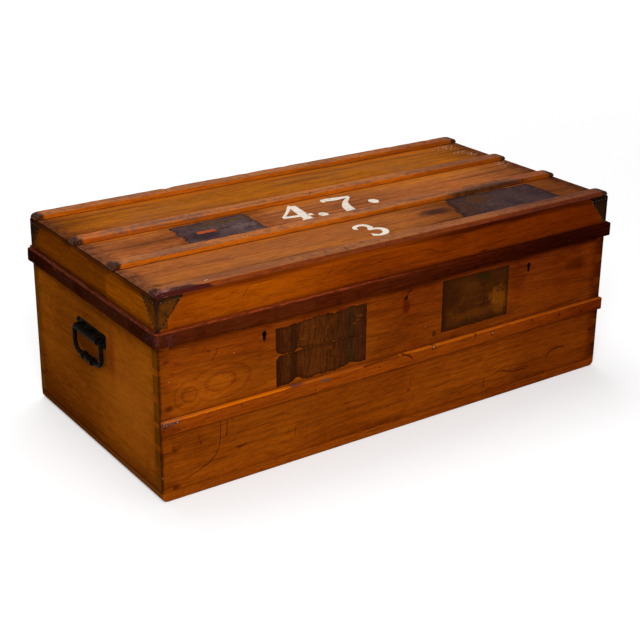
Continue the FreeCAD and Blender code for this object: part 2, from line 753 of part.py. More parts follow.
def make_link(body):
    """A plate let into the lid's front rail, with two loops that drop into the lock."""
    plate = block("-link_length / 2", "link_length / 2", "-lock_depth / 2", "lock_depth / 2")
    add(body, "XY", [plate], LID_FLOOR, "link_plate")
    screw = ("link_plate", "lock_screw_head", "lock_screw_shank")
    sink_screws(body, "XY", link_screw_places("0", "0"), LID_FLOOR, 1, *screw)
    half = "(link_loop_width / 2)"
    hole_half = f"({half} - link_loop_wire)"
    for start, end in loop_spans():
        outline = [(half, LID_FLOOR), (f"-{half}", LID_FLOOR)]
        outline += [(f"-{half}", LOOP_LOW, "link_loop_wire"), (half, LOOP_LOW, "link_loop_wire")]
        add(body, "YZ", [outline], start, "link_loop_thick")
        hole = block(f"-{hole_half}", hole_half, f"{LOOP_LOW} + link_loop_wire", LID_FLOOR)
        cut(body, "YZ", [hole], start, "link_loop_thick")


# The handles
def saddle_screw_places(height="0"):
    """Where a saddle's four screws stand, about a middle at a height."""
    places = []
    for y in (-1, 1):
        for z in (-1, 1):
            across = f"{y} * (saddle_length / 2 - saddle_screw_inset)"
            places.append((across, f"{height} + {z} * (saddle_width / 2 - saddle_screw_inset)"))
    return places


def make_handles():
    """On each end: a saddle whose raised channel holds the bail's pivot bar, its screws and the bail."""
    for name, side, turn in (("left", LEFT, 180), ("right", RIGHT, 0)):
        place = (f"{side} * {END}", "0", "handle_height")
        make_saddle(piece(f"handle_{name}_saddle", place, turn))
        make_screws(piece(f"handle_{name}_screws", place, turn, many=True))
        pivot = (f"{side} * ({END} + bail_axis_out)", "0", "handle_height")
        make_bail(piece(f"handle_{name}_bail", pivot, turn))


def make_saddle(body):
    """A plate with rounded corners and a round-topped channel open to the wood."""
    across, up = "(saddle_length / 2)", "(saddle_width / 2)"
    add(body, "YZ", [block(f"-{across}", across, f"-{up}", up, "saddle_corner_round")], "0", "saddle_sheet")
    reach = "(bail_width / 2 - bail_top_round - bail_side_play)"
    inner = "(bail_rod_radius + bail_play)"
    outer = f"({inner} + saddle_sheet)"
    add(body, "XZ", [block("0", "bail_axis_out", f"-{outer}", outer)], f"-{reach}", f"2 * {reach}")
    add(body, "XZ", [("bail_axis_out", "0", outer)], f"-{reach}", f"2 * {reach}")
    cut(body, "XZ", [block("0", "bail_axis_out", f"-{inner}", inner)], f"-{reach}", f"2 * {reach}")
    cut(body, "XZ", [("bail_axis_out", "0", inner)], f"-{reach}", f"2 * {reach}")
    holes = [(y, z, "saddle_screw_shank") for y, z in saddle_screw_places()]
    cut(body, "YZ", holes, "0", "saddle_sheet")


def make_screws(body):
    """Four screws with low round heads."""
    for y, z in saddle_screw_places():
        start = "saddle_sheet - saddle_screw_length"
        add(body, "YZ", [(y, z, "saddle_screw_shank")], start, "saddle_screw_length")
        head = add(body, "YZ", [(y, z, "saddle_screw_head")], "saddle_sheet", "saddle_screw_head_height")
        slope = "-atan((saddle_screw_head - saddle_screw_head_top) / saddle_screw_head_height)"
        bind(head, "TaperAngle", slope)


def make_bail(body):
    """A closed loop of round rod with a swelled, beaded grip on its lower bar."""
    half = "(bail_width / 2)"
    loop = [
        (half, "0", "bail_top_round"),
        (f"-{half}", "0", "bail_top_round"),
        (f"-{half}", "-bail_drop", "bail_bottom_round"),
        (half, "-bail_drop", "bail_bottom_round"),
    ]
    path = new_sketch(body, "YZ", [loop])
    section = new_sketch(body, "XZ", [("0", "0", "bail_rod_radius")])
    doc.recompute()
    rod = body.newObject("PartDesign::AdditivePipe", f"{body.Name}_rod")
    rod.Profile = section
    rod.Spine = (path, [])
    doc.recompute()
    grip_half = "(grip_length / 2)"
    neck = f"({grip_half} - grip_bead_width)"
    profile = [
        ("0", f"-{grip_half}"),
        ("grip_bead", f"-{grip_half}"),
        ("grip_bead", f"-{neck}"),
        ("bail_rod_radius", f"-{neck}"),
        ("grip_radius", "0", "grip_length / 2"),
        ("bail_rod_radius", neck),
        ("grip_bead", neck),
        ("grip_bead", grip_half),
        ("0", grip_half),
    ]
    sketch = new_sketch(body, "XY", [profile], "-bail_drop")
    grip = body.newObject("PartDesign::Revolution", f"{body.Name}_grip")
    grip.Profile = sketch
    grip.ReferenceAxis = (sketch, ["V_Axis"])


make_box()
make_lid()
make_band()
make_guards()
make_hinges()
make_locks()
make_handles()
doc.recompute()

for thing in doc.Objects:
    if "Invalid" in thing.State or "Error" in thing.State:
        raise RuntimeError(f"{thing.Name} failed: {thing.State}")
for thing in doc.Objects:
    if thing.TypeId == "PartDesign::Pocket" and not thing.Shape.Volume < thing.BaseFeature.Shape.Volume:
        raise RuntimeError(f"{thing.Name} cuts nothing")
for body in PIECES:
    if body.Shape.isNull() or not body.Shape.isValid():
        raise RuntimeError(f"{body.Label} has no valid shape")

os.makedirs("parts", exist_ok=True)
for body in PIECES:
    body.Shape.exportStep(f"parts/{body.Label}.step")
    print(body.Label, len(body.Shape.Solids), round(body.Shape.Volume))
print(len(PIECES), "pieces")
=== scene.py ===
# %% [markdown]
# # Dressing a blanket chest
# The chest is a travelling trunk: thin dovetailed boards, a shallow lid with four battens on top, and a
# dark band round the lid's lower edge. Its wood parts already come as exact solids from the frame. This
# notebook gives them the look of an old varnished trunk, and makes again the pieces that a century of
# travel has worn.

# %% Load the frame
import math

import bmesh
import bpy
import numpy as np
from mathutils import Matrix, Vector


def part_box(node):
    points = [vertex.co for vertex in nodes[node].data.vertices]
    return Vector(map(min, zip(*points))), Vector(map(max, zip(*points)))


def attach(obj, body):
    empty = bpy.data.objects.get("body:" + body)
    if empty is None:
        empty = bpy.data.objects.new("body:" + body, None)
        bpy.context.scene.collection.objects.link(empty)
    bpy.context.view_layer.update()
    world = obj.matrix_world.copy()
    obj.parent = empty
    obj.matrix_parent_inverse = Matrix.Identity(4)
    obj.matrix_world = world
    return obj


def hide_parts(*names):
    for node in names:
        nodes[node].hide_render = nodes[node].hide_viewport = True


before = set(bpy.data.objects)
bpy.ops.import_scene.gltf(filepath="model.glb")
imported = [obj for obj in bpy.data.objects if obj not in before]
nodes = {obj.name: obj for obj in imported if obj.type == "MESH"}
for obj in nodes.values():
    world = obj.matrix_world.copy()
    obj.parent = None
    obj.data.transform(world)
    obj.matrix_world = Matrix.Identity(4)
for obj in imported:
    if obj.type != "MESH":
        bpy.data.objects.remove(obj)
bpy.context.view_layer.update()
MM = 0.001
HALF_LENGTH, HALF_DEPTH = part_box("front_upper_board")[1].x, -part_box("front_upper_board")[0].y
LID_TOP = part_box("lid_rear_board")[1].z

# %% [markdown]
# ## Where the camera stands
# The picture was taken from the front left corner and a little above. The camera could be turned by eye
# until the edges agree, but the straight edges of a box fix the place exactly: the angles below were fitted
# to them. The lens stays aimed a little above the chest, so the frame is shifted down instead of tilting
# the camera.

# %% Camera
TURN, RISE, ROLL = (math.radians(a) for a in (-34.935, 20.925, 0.588))
back = Vector((math.sin(TURN) * math.cos(RISE), -math.cos(TURN) * math.cos(RISE), math.sin(RISE)))
right = Vector((math.cos(TURN), math.sin(TURN), 0))
up = back.cross(right)
rolled_right = math.cos(ROLL) * right + math.sin(ROLL) * up
rolled_up = math.cos(ROLL) * up - math.sin(ROLL) * right
camera = bpy.data.objects.new("camera", bpy.data.cameras.new("camera"))
camera.data.lens, camera.data.sensor_width, camera.data.shift_y = 75.99, 36, -0.0703
camera.data.clip_start, camera.data.clip_end = 0.05, 100
camera.matrix_world = Matrix.Translation((-1.41134, -1.99599, 1.15929)) @ Matrix(
    (rolled_right, rolled_up, back)).transposed().to_4x4()
bpy.context.scene.collection.objects.link(camera)
bpy.context.scene.camera = camera
bpy.context.scene.view_settings.view_transform = "Standard"
print("camera at", tuple(round(c, 3) for c in camera.location))

# %% [markdown]
# ## Shader maths as plain Python
# Varnish, dirt and wear are sums and products of patterns. Joining Math nodes by hand hides the idea, so
# one small class stands for a node's output and turns ordinary arithmetic into nodes. A second one is a
# finish: it adds nodes, mixes colours and holds the patterns that several finishes share.

# %% A node's output that does arithmetic
class Amount:
    """An output of a shader node. An expression on amounts and numbers adds the Math nodes it needs."""

    def __init__(self, finish, socket):
        self.finish, self.socket = finish, socket

    def maths(self, operation, *terms):
        return self.finish.node("ShaderNodeMath", {"operation": operation}, dict(enumerate(terms)))


for sign, operation in (("add", "ADD"), ("sub", "SUBTRACT"), ("mul", "MULTIPLY"), ("truediv", "DIVIDE"),
                        ("pow", "POWER"), ("or", "MAXIMUM"), ("and", "MINIMUM")):
    setattr(Amount, f"__{sign}__", lambda self, other, kind=operation: self.maths(kind, self, other))
    setattr(Amount, f"__r{sign}__", lambda self, other, kind=operation: self.maths(kind, other, self))
for name, operation in (("__abs__", "ABSOLUTE"), ("over_whole", "FRACT"), ("root", "SQRT")):
    setattr(Amount, name, lambda self, kind=operation: self.maths(kind, self))
print("amounts add, subtract, multiply, divide and take powers")

# %% A finish
def shade(red, green, blue):
    """A colour as it looks on a screen, 0 to 255, as the light it stands for: the usual screen curve
    undone."""
    return tuple(c / 12.92 if c < 0.04045 else ((c + 0.055) / 1.055) ** 2.4
                 for c in (red / 255, green / 255, blue / 255))


class Finish:
    """A material with its nodes, and the patterns that wood, iron and paper share."""

    def __init__(self, name, rough=0.5, metal=0.0, gloss=0.5):
        self.material = bpy.data.materials.new(name)
        self.material.use_nodes = True
        self.tree = self.material.node_tree
        self.surface = self.tree.nodes["Principled BSDF"]
        self.set(**{"Roughness": rough, "Metallic": metal, "Specular IOR Level": gloss})

    def feed(self, socket, value):
        """Joins or sets one input. A colour in whole numbers is as seen on a screen, one in fractions is
        light."""
        if isinstance(value, Amount):
            self.tree.links.new(value.socket, socket)
        elif socket.type == "RGBA" and len(value) == 3:
            socket.default_value = (*(shade(*value) if max(value) > 1 else value), 1)
        else:
            socket.default_value = value

    def node(self, kind, settings=None, inputs=None, output=0):
        made = self.tree.nodes.new(kind)
        for setting, value in (settings or {}).items():
            setattr(made, setting, value)
        for socket, value in (inputs or {}).items():
            self.feed(made.inputs[socket], value)
        return Amount(self, made.outputs[output])

    def set(self, **inputs):
        for socket, value in inputs.items():
            self.feed(self.surface.inputs[socket], value)

    def place(self):
        return self.node("ShaderNodeTexCoord", output="Object")

    def facing(self):
        return self.axes(self.node("ShaderNodeTexCoord", output="Normal"))

    def axes(self, vector):
        split = self.node("ShaderNodeSeparateXYZ", inputs={0: vector}).socket.node
        return [Amount(self, out) for out in split.outputs]

    def laid(self, vector, shift=(0, 0, 0), scale=(1, 1, 1), turn=(0, 0, 0)):
        return self.node("ShaderNodeMapping", inputs={
            "Vector": vector, "Location": shift, "Rotation": turn, "Scale": scale})

    def noise(self, vector, scale, detail=3.0, rough=0.5):
        return self.node("ShaderNodeTexNoise", inputs={
            "Vector": vector, "Scale": scale, "Detail": detail, "Roughness": rough})

    def grade(self, value, low, high):
        """0 up to low, 1 from high on, and a smooth rise between. With low above high it falls instead."""
        return self.node("ShaderNodeMapRange", {"interpolation_type": "SMOOTHSTEP"}, {
            "Value": value, "From Min": low, "From Max": high})

    def within(self, value, low, high, soft):
        """1 between low and high, and 0 outside, over an edge of twice soft."""
        return self.grade(value, low - soft, low + soft) * self.grade(value, high + soft, high - soft)

    def mix(self, amount, under, over, mode="MIX"):
        return self.node("ShaderNodeMix", {"data_type": "RGBA", "blend_type": mode},
                         {0: amount, 6: under, 7: over}, output=2)

    def bump(self, height, depth):
        return self.node("ShaderNodeBump", inputs={"Strength": 1.0, "Distance": depth, "Height": height})

    def value(self, name):
        return self.node("ShaderNodeAttribute", {"attribute_name": name}, output="Fac")


print("a finish can add nodes, mix colours and lay noise")

# %% [markdown]
# ## Floor and light
# The chest stood in a plain white studio. A white backdrop could be lit until it glares, which would wash
# out the wood. Instead the floor is pale and takes the shadow, a small glow that only the eye and the
# reflections see lifts it to white, and the lamps stay at a level at which a colour renders as it is
# written.

# %% Floor and lamps
def lamp(name, place, aim, size, watts):
    light = bpy.data.lights.new(name, "AREA")
    light.shape, light.size, light.energy = "DISK", size, watts
    holder = bpy.data.objects.new(name, light)
    holder.matrix_world = Matrix.Translation(place) @ (Vector(aim) - Vector(place)).to_track_quat(
        "-Z", "Y").to_matrix().to_4x4()
    bpy.context.scene.collection.objects.link(holder)


FLOOR = 30.0
floor_mesh = bpy.data.meshes.new("floor")
floor_mesh.from_pydata([(-FLOOR, -FLOOR, 0), (FLOOR, -FLOOR, 0), (FLOOR, FLOOR, 0), (-FLOOR, FLOOR, 0)],
                       [], [(0, 1, 2, 3)])
floor = bpy.data.objects.new("floor", floor_mesh)
bpy.context.scene.collection.objects.link(floor)
floor_finish = Finish("pale floor", rough=0.9, gloss=0.0)
seen = (floor_finish.node("ShaderNodeLightPath", output="Is Camera Ray")
        | floor_finish.node("ShaderNodeLightPath", output="Is Glossy Ray")
        | floor_finish.node("ShaderNodeLightPath", output="Is Transmission Ray"))
far_x, far_y, _ = floor_finish.axes(floor_finish.place())
distance = (far_x * far_x + far_y * far_y).root()
glow = floor_finish.mix(floor_finish.grade(distance, 0.8, 4.5), (0.27, 0.27, 0.27), (0.62, 0.62, 0.62))
floor_finish.set(**{"Base Color": (0.8, 0.8, 0.8), "Emission Strength": 1.0,
                    "Emission Color": floor_finish.mix(seen, (0, 0, 0), glow)})
floor_mesh.materials.append(floor_finish.material)

world = bpy.data.worlds.new("studio")
world.use_nodes = True
world.node_tree.nodes["Background"].inputs["Color"].default_value = (1, 1, 1, 1)
world.node_tree.nodes["Background"].inputs["Strength"].default_value = 0.42
bpy.context.scene.world = world
lamp("key", (-1.7, -2.6, 2.5), (-0.1, -0.1, 0.15), 1.6, 95)
lamp("top", (0.3, 1.2, 3.2), (0, 0, 0.3), 2.4, 40)
print("one floor, two lamps and a plain sky")

# %% [markdown]
# ## Old varnished boards
# Wood colour comes from three things at very different sizes: growth rings some millimetres apart, fibres
# far thinner and very long, and broad patches where the varnish is thick or hands have darkened the board.
# A stretched noise alone gives only streaks. Here the rings are those of a real log: circles round a heart
# line that runs beside the board and slants a little, so the board's face cuts them into the pointed
# figures of sawn wood, and the end grain shows arcs.

# %% Wood grain
class Wood(Finish):
    """The finish of a board whose grain runs along X or Y. heart is the log's middle, as the two places
    across the grain."""

    def __init__(self, name, run, seed, heart, slant=2.0, spacing=0.0075, wander=3.0, gloss=0.04, tilt=0.0):
        super().__init__(name.replace("_", " ") + " wood", gloss=gloss)
        self.at, self.run = self.place(), run
        self.tilted = self.laid(self.at, turn=(0, tilt, 0)) if tilt else self.at
        self.x, self.y, self.z = self.axes(self.at)
        self.nx, self.ny, self.nz = self.facing()
        along, across = (self.x, self.y) if run == "X" else (self.y, self.x)
        self.shift = (seed * 1.37, seed * 2.11, seed * 0.73)
        self.slow = (0.045, 1, 1) if run == "X" else (1, 0.045, 1)
        self.drift = self.noise(self.laid(self.at, self.shift, self.slow), 9.0, 3)
        self.streak = self.noise(self.stretched(1.0), 75.0, 4, 0.6)
        self.fibre = self.noise(self.stretched(0.25), 650.0, 3, 0.6)
        self.flame = self.noise(self.stretched(4.0), 17.0, 5, 0.62)
        self.cloud = self.noise(self.laid(self.at, self.shift), 5.5, 4, 0.55)
        self.grime = self.noise(self.laid(self.at, self.shift), 75.0, 6, 0.65)
        self.rag, self.sway, self.lean = self.grime - 0.5, self.cloud - 0.5, self.drift - 0.5
        bend = self.noise(self.stretched(2.5), 4.0, 2)
        offset = (across - heart[0]) * (across - heart[0]) + (self.z - heart[1]) * (self.z - heart[1])
        count = offset.root() / spacing + along * slant + bend * wander
        self.ring = self.grade(count.over_whole(), 0.35, 0.97)
        self.pore = self.grade(self.noise(self.stretched(1.4), 900.0, 1), 0.66, 0.76)
        self.end_grain = self.grade(abs(self.nx if run == "X" else self.ny), 0.6, 0.8)
        self.mottle = self.noise(self.stretched(6.0), 210.0, 4, 0.7)
        self.fleck = self.noise(self.stretched(2.2), 300.0, 3, 0.65)
        self.speckle = self.noise(self.laid(self.at, self.shift), 330.0, 4, 0.7)
        self.bare = None
        self.height = self.fibre * 0.5 + self.streak * 0.3 - self.pore * 0.5

    def stretched(self, times):
        return self.laid(self.tilted, self.shift, tuple(times * s if s < 1 else s for s in self.slow))

    def colour(self, light, middle, dark, rings=0.16, figure=0.35):
        base = self.mix(self.grade(self.drift, 0.35, 0.65), light, middle)
        base = self.mix(self.grade(self.flame, 0.5, 0.68) * 0.24, base, dark)
        base = self.mix(self.ring * rings, base, dark)
        base = self.mix(self.grade(self.streak, 0.5, 0.72) * figure, base, dark)
        base = self.mix(self.grade(self.fibre, 0.48, 0.8) * 0.45, base, dark)
        self.shown = self.mix(self.pore * 0.45, base, dark)
        self.dim(self.mottle, 0.42, 0.66, 0.33, (0.62, 0.52, 0.45))
        self.dim(self.fleck, 0.48, 0.66, 0.45, (0.56, 0.42, 0.42))
        self.dim(self.speckle, 0.52, 0.68, 0.35, (0.5, 0.36, 0.36))
        self.stain(self.grade(self.fleck, 0.46, 0.34) * 0.35, light)

    def stain(self, amount, colour):
        self.shown = self.mix(amount, self.shown, colour)

    def darken(self, amount, colour=(0.25, 0.2, 0.17)):
        self.shown = self.mix(amount, self.shown, colour, "MULTIPLY")

    def dim(self, value, low, high, strength, colour):
        """Darkens where the value rises from low to high."""
        self.darken(self.grade(value, low, high) * strength, colour)

    def marks(self, a, b, rows):
        """Soft spots, each with its centre, size, softness, raggedness, strength and colour. A colour in
        whole numbers covers, one in fractions darkens."""
        for centre, size, soft, ragged, strength, colour in rows:
            lay = self.stain if max(colour) > 1 else self.darken
            lay(self.spot(a, b, centre, size, soft, ragged) * strength, colour)

    def spot(self, a, b, centre, size, soft=0.35, ragged=0.0):
        """1 inside an ellipse round centre, whose edge is soft and wanders by ragged."""
        reach = (((a - centre[0]) / size[0]) ** 2 + ((b - centre[1]) / size[1]) ** 2).root()
        if ragged:
            reach = reach + self.rag * ragged
        return self.grade(reach, 1 + soft, 1 - soft)

    def scratch(self, a, b, start, end, bow=0.0, width=0.0006, fade=0.04):
        """A thin line from start to end that bulges sideways by bow at its middle, in metres. It fades in
        and out over twice fade of its length."""
        run = (end[0] - start[0], end[1] - start[1])
        length = math.hypot(*run)
        share = ((a - start[0]) * run[0] + (b - start[1]) * run[1]) / length ** 2
        aside = ((b - start[1]) * run[0] - (a - start[0]) * run[1]) / length
        aside = abs(aside - share * (1 - share) * 4 * bow)
        lasting = self.within(share, fade * 0.75, 1 - fade * 0.75, fade)
        return self.grade(aside, width * 1.8, width * 0.4) * lasting

    def inner_face(self):
        """1 on the face towards the middle of the chest, where the normal points against the place."""
        return self.grade(0 - (self.ny * self.y if self.run == "X" else self.nx * self.x), 0.1, 0.2)

    def finish(self, depth=0.0002):
        if self.bare:
            self.stain(self.bare * 0.92, self.mix(self.grade(self.streak, 0.35, 0.65), *BARE_WOOD))
            self.darken(self.bare * self.grade(self.fibre, 0.45, 0.75) * 0.4, (0.6, 0.52, 0.45))
        self.set(**{"Base Color": self.shown, "Normal": self.bump(self.height, depth),
                    "Roughness": self.grade(self.grime * 0.6 + self.streak * 0.4, 0.25, 0.75) * 0.26 + 0.34})
        return self.material


BARE_WOOD = (158, 112, 68), (126, 82, 44)


def dress(made, *names):
    for name in names:
        mesh = nodes[name].data
        mesh.materials.clear()
        mesh.materials.append(made)


print("wood with rings, fibres, pores, clouds and grime")

# %% [markdown]
# ## Front, back and ends
# The varnished boards are orange-brown outside and bare inside. Each board gets a log of its own, so that
# no figure runs on from one to the next. The dirt is where hands and feet leave it: at the corners, along
# the battens and at the bottom. Shade is painted in too: the boards darken towards the right, where less
# light falls, and under the band and the front batten, and the keyholes are near-black spots. The knot,
# the oval figure and the long scratches could be painted on, but a mask worked out from the place in
# metres stays sharp at any distance.

# %% Dirt that all boards share
def worn_corners(w):
    """The upright edges are dark with handling, a few millimetres in, with a pale speck where one is
    chipped."""
    away = ((HALF_LENGTH - abs(w.x)) ** 2 + (HALF_DEPTH - abs(w.y)) ** 2).root() + w.rag * 0.012
    w.dim(away, 0.0055, 0.0005, 0.85, (0.22, 0.17, 0.13))
    speck = w.grade(w.noise(w.laid(w.at, (5, 6, 7)), 260.0, 2), 0.70, 0.74)
    w.stain(speck * w.grade(away, 0.003, 0.001) * 0.7, (190, 160, 130))


def draw(w, a, b, line, width):
    """A long scratch as straight pieces between the given points."""
    for start, end in zip(line[:-1], line[1:]):
        w.darken(w.scratch(a, b, start, end, 0.0, width, 0.01) * 0.8, (0.28, 0.2, 0.16))


DIRT = (0.3, 0.2, 0.2)
print("worn corners and scratches of several pieces")

# %% Colours of the side boards
def side_board(name, seed, heart, low, high, light, middle, shadow=0.9, **more):
    w = Wood(name, "X", seed, heart, gloss=0.0, **more)
    w.colour(light, middle, (56, 20, 4), rings=0.2, figure=0.3)
    w.dim(w.cloud, 0.42, 0.72, 0.6, (0.6, 0.45, 0.4))
    w.dim(w.grime, 0.57, 0.78, 0.5, (0.45, 0.35, 0.3))
    # Painted shade: darker towards the right, where less light falls; shadow sets how much.
    w.dim(w.x + w.sway * 0.3, -0.3, 0.15, shadow, (0.62, 0.50, 0.7))
    w.dim(abs(w.x) + w.sway * 0.04, 0.465, 0.494, w.grade(w.x, -0.1, 0.1) * 0.35 + 0.4, (0.52, 0.46, 0.45))
    w.dim(w.x + w.rag * 0.02, 0.455, 0.492, 0.6, (0.42, 0.32, 0.4))
    w.stain(w.end_grain, w.mix(w.fibre, (104, 58, 5), (84, 44, 4)))
    worn_corners(w)
    w.dim(w.z + w.rag * 0.02, low + 0.006, low, 0.35, (0.4, 0.3, 0.25))
    # Painted shade along the top of the board, under what overhangs it, deeper towards the right.
    brow = w.grade(w.z + w.sway * 0.02, high - 0.020, high - 0.004)
    w.darken(brow * (w.grade(w.x, 0.35, 0.48) * 0.35 + 0.55), (0.42, 0.33, 0.3))
    w.bare = w.inner_face()
    return w


w = side_board("front upper", 1, (-0.36, 0.19), 0.152, 0.284, (158, 78, 9), (134, 59, 7), slant=5.0,
               wander=5.0)
x, z = w.x, w.z
large = (((x + 0.385) / 0.056) ** 2 + ((z - 0.195) / 0.031) ** 2).root()
small = (((x + 0.4445) / 0.028) ** 2 + ((z - 0.186) / 0.025) ** 2).root()
reach = (large & small) + w.lean * 0.5
w.darken(w.grade((reach * 1.9).over_whole(), 0.55, 0.97) * w.grade(reach, 1.3, 0.9) * 0.5,
         (0.5, 0.36, 0.3))
print("front upper board with", len(w.tree.nodes), "nodes before its marks")

# %% Marks on the upper board
w.marks(x, z, (((0.0035, 0.240), (0.0082, 0.0130), 0.45, 0.4, 0.9, (78, 20, 5)),
               ((0.002, 0.257), (0.004, 0.004), 0.5, 0, 0.9, (30, 12, 5))))
w.darken(w.scratch(x, z, (0.003, 0.258), (0.016, 0.274), 0.002, 0.0012) * 0.8)
w.darken(w.scratch(x, z, (-0.006, 0.252), (0.006, 0.262), -0.002, 0.0012) * 0.7)
# The two keyholes are near-black spots: painted shade in place of the dark holes.
for side in (-1, 1):
    w.marks(x, z, (((side * 0.299, 0.2560), (0.0036, 0.0098), 0.25, 0, 0.95, (20, 10, 5)),
                   ((side * 0.299, 0.2600), (0.0048, 0.0048), 0.25, 0, 0.95, (20, 10, 5))))
w.marks(x, z, [(centre, size, 0.6, ragged, strength, DIRT) for centre, size, ragged, strength in (
    ((0.429, 0.236), (0.026, 0.012), 1.2, 0.65), ((0.272, 0.245), (0.022, 0.035), 1.4, 0.35),
    ((0.297, 0.278), (0.05, 0.006), 1.2, 0.5), ((-0.483, 0.171), (0.007, 0.005), 1.0, 0.75),
    ((-0.4865, 0.255), (0.006, 0.002), 1.0, 0.6), ((-0.407, 0.2547), (0.004, 0.002), 0.8, 0.6),
    ((0.03, 0.276), (0.07, 0.006), 1.4, 0.4))])
draw(w, x, z, [(-0.389, 0.256), (-0.392, 0.249), (-0.401, 0.236)], 0.0008)
draw(w, x, z, [(-0.397, 0.2535), (-0.389, 0.2565)], 0.0007)
w.marks(x, z, [((0.0704, 0.172), (0.0045, 0.006), 0.6, 0.6, 0.8, (46, 24, 10))]
        + [(centre, (0.0008, 0.0008), 0.6, 0, 0.7, (190, 140, 90))
           for centre in ((-0.3587, 0.2404), (-0.4816, 0.2187), (0.049, 0.191))])
dress(w.finish(), "front_upper_board")
print("front upper board with", len(w.tree.nodes), "nodes")

# %% The lower board and the back
w = side_board("front lower", 2, (-0.33, 0.02), 0.018, 0.16, (156, 76, 9), (134, 60, 7), 0.45,
               slant=3.0, tilt=0.07)
x, z = w.x, w.z
w.dim(x + w.sway * 0.15, 0.18, 0.36, 0.7, (0.66, 0.58, 0.6))
# Painted shade under the front batten: the upper left of the lower board is darker.
w.darken(w.grade(x, 0.05, -0.15) * w.grade(z, 0.03, 0.09) * 0.5, (0.6, 0.56, 0.6))
for width, line in (
        (0.0009, [(-0.3874, 0.122), (-0.3868, 0.1152), (-0.3873, 0.096), (-0.3897, 0.0763), (-0.3975, 0.061),
                  (-0.4105, 0.0505), (-0.4300, 0.0420), (-0.4551, 0.0345)]),
        (0.0010, [(-0.3738, 0.120), (-0.3743, 0.1092), (-0.3756, 0.0908)]),
        (0.0015, [(0.3636, 0.0495), (0.3680, 0.0585), (0.3768, 0.0642), (0.3920, 0.0662), (0.410, 0.0644)]),
        (0.0012, [(0.2277, 0.0511), (0.2380, 0.0530), (0.249, 0.0524), (0.2640, 0.0450), (0.2746, 0.0431),
                  (0.3067, 0.0417)]),
        (0.0009, [(0.262, 0.0480), (0.290, 0.0475), (0.314, 0.0450)]),
        (0.0009, [(0.2006, 0.050), (0.2006, 0.0269)]),
        (0.0006, [(-0.235, 0.070), (-0.237, 0.050)]), (0.0006, [(0.02, 0.098), (0.019, 0.080)]),
        (0.0006, [(-0.43, 0.110), (-0.425, 0.088)]), (0.0012, [(-0.352, 0.062), (-0.335, 0.066)])):
    draw(w, x, z, line, width)
w.marks(x, z, [(centre, size, 0.6, 1.2, 0.7, DIRT) for centre, size in (
    ((-0.480, 0.092), (0.011, 0.004)), ((-0.480, 0.0245), (0.013, 0.005)), ((0.497, 0.119), (0.006, 0.004)),
    ((0.494, 0.047), (0.006, 0.005)), ((0.481, 0.084), (0.006, 0.003)), ((0.015, 0.072), (0.004, 0.003)),
    ((-0.352, 0.064), (0.008, 0.002)))])
dress(w.finish(), "front_lower_board")
for name, seed, heart, low, high in (("back upper", 3, (0.36, 0.22), 0.14, 0.284),
                                     ("back lower", 4, (0.34, 0.05), 0.018, 0.16)):
    w = side_board(name, seed, heart, low, high, (146, 72, 8), (124, 54, 6))
    dress(w.finish(), name.replace(" ", "_") + "_board")
print("four side boards")

# %% Ends
def end_board(name, seed, side):
    w = Wood(name, "Y", seed, (side * 0.66, 0.12), slant=3.0, spacing=0.011, gloss=0.0)
    y, z = w.y, w.z
    w.colour((154, 84, 11), (134, 68, 9), (68, 33, 4), rings=0.12, figure=0.3)
    w.dim(w.cloud, 0.4, 0.7, 0.5, (0.62, 0.55, 0.5))
    w.dim(w.grime, 0.58, 0.8, 0.4, (0.5, 0.42, 0.35))
    w.stain(w.spot(y, z, (-0.125, 0.145), (0.085, 0.085), 0.9, 0.4) * 0.4, (150, 80, 20))
    far = w.grade(y + w.sway * 0.12, -0.09, 0.03) * (1 - w.grade(y, 0.13, 0.2) * 0.6)
    w.darken(far * (0.8 - w.grade(z, 0.24, 0.265) * 0.6), (0.6, 0.55, 0.7))
    w.darken(w.spot(y, z, (0.225, 0.03), (0.08, 0.06), 0.8, 0.5) * 0.6, (0.48, 0.42, 0.4))
    rim = w.grade(abs(y) + w.sway * 0.04, 0.205, HALF_DEPTH) | w.grade(z + w.sway * 0.04, 0.062, 0.018)
    w.darken(rim * 0.65, (0.45, 0.42, 0.32))
    # Painted shade under the band: the end darkens towards its top.
    w.dim(z + w.sway * 0.02, 0.255, 0.276, 0.55, (0.45, 0.42, 0.4))
    w.darken(w.grade(z, 0.0225, 0.0185) | w.grade(z, 0.280, 0.284), (0.5, 0.4, 0.3))
    w.marks(y, z, (((-0.074, 0.205), (0.010, 0.045), 0.9, 0, 0.5, (104, 30, 4)),
                   ((-0.01, 0.190), (0.062, 0.026), 0.5, 0, 0.5, (0.5, 0.45, 0.35))))
    w.stain(w.end_grain * 0.9, w.mix(w.fibre, (140, 64, 2), (104, 44, 2)))
    w.darken(w.end_grain * w.grade(w.x, 0.0, 0.5) * 0.9, (0.45, 0.36, 0.5))
    worn_corners(w)
    w.bare = w.inner_face()
    return w


for name, seed, side in (("left_end", 6, -1), ("right_end", 7, 1)):
    dress(end_board(name, seed, side).finish(), name + "_board")
for name, seed, heart in (("bottom_front_board", 8, -0.2), ("bottom_middle_board", 9, 0.1),
                          ("bottom_back_board", 10, 0.3)):
    w = Wood(name, "X", seed, (heart, -0.14), gloss=0.0)
    w.colour((162, 80, 10), (140, 64, 8), (68, 27, 4), figure=0.45)
    w.dim(w.grime, 0.55, 0.75, 0.5, (0.45, 0.36, 0.3))
    w.dim(w.x, -0.05, 0.3, 0.6, (0.68, 0.52, 0.7))
    w.stain(w.end_grain * 0.9, w.mix(w.grade(w.y, -0.2, 0.2), (98, 54, 16), (74, 36, 6)))
    w.dim(w.z, 0.0158, 0.018, 0.5, (0.3, 0.24, 0.2))
    w.bare = w.grade(w.nz, 0.7, 0.9)
    w.stain(w.grade(w.nz, -0.7, -0.9) * 0.6, (70, 45, 28))
    dress(w.finish(), name)
print("two ends and three bottom boards")
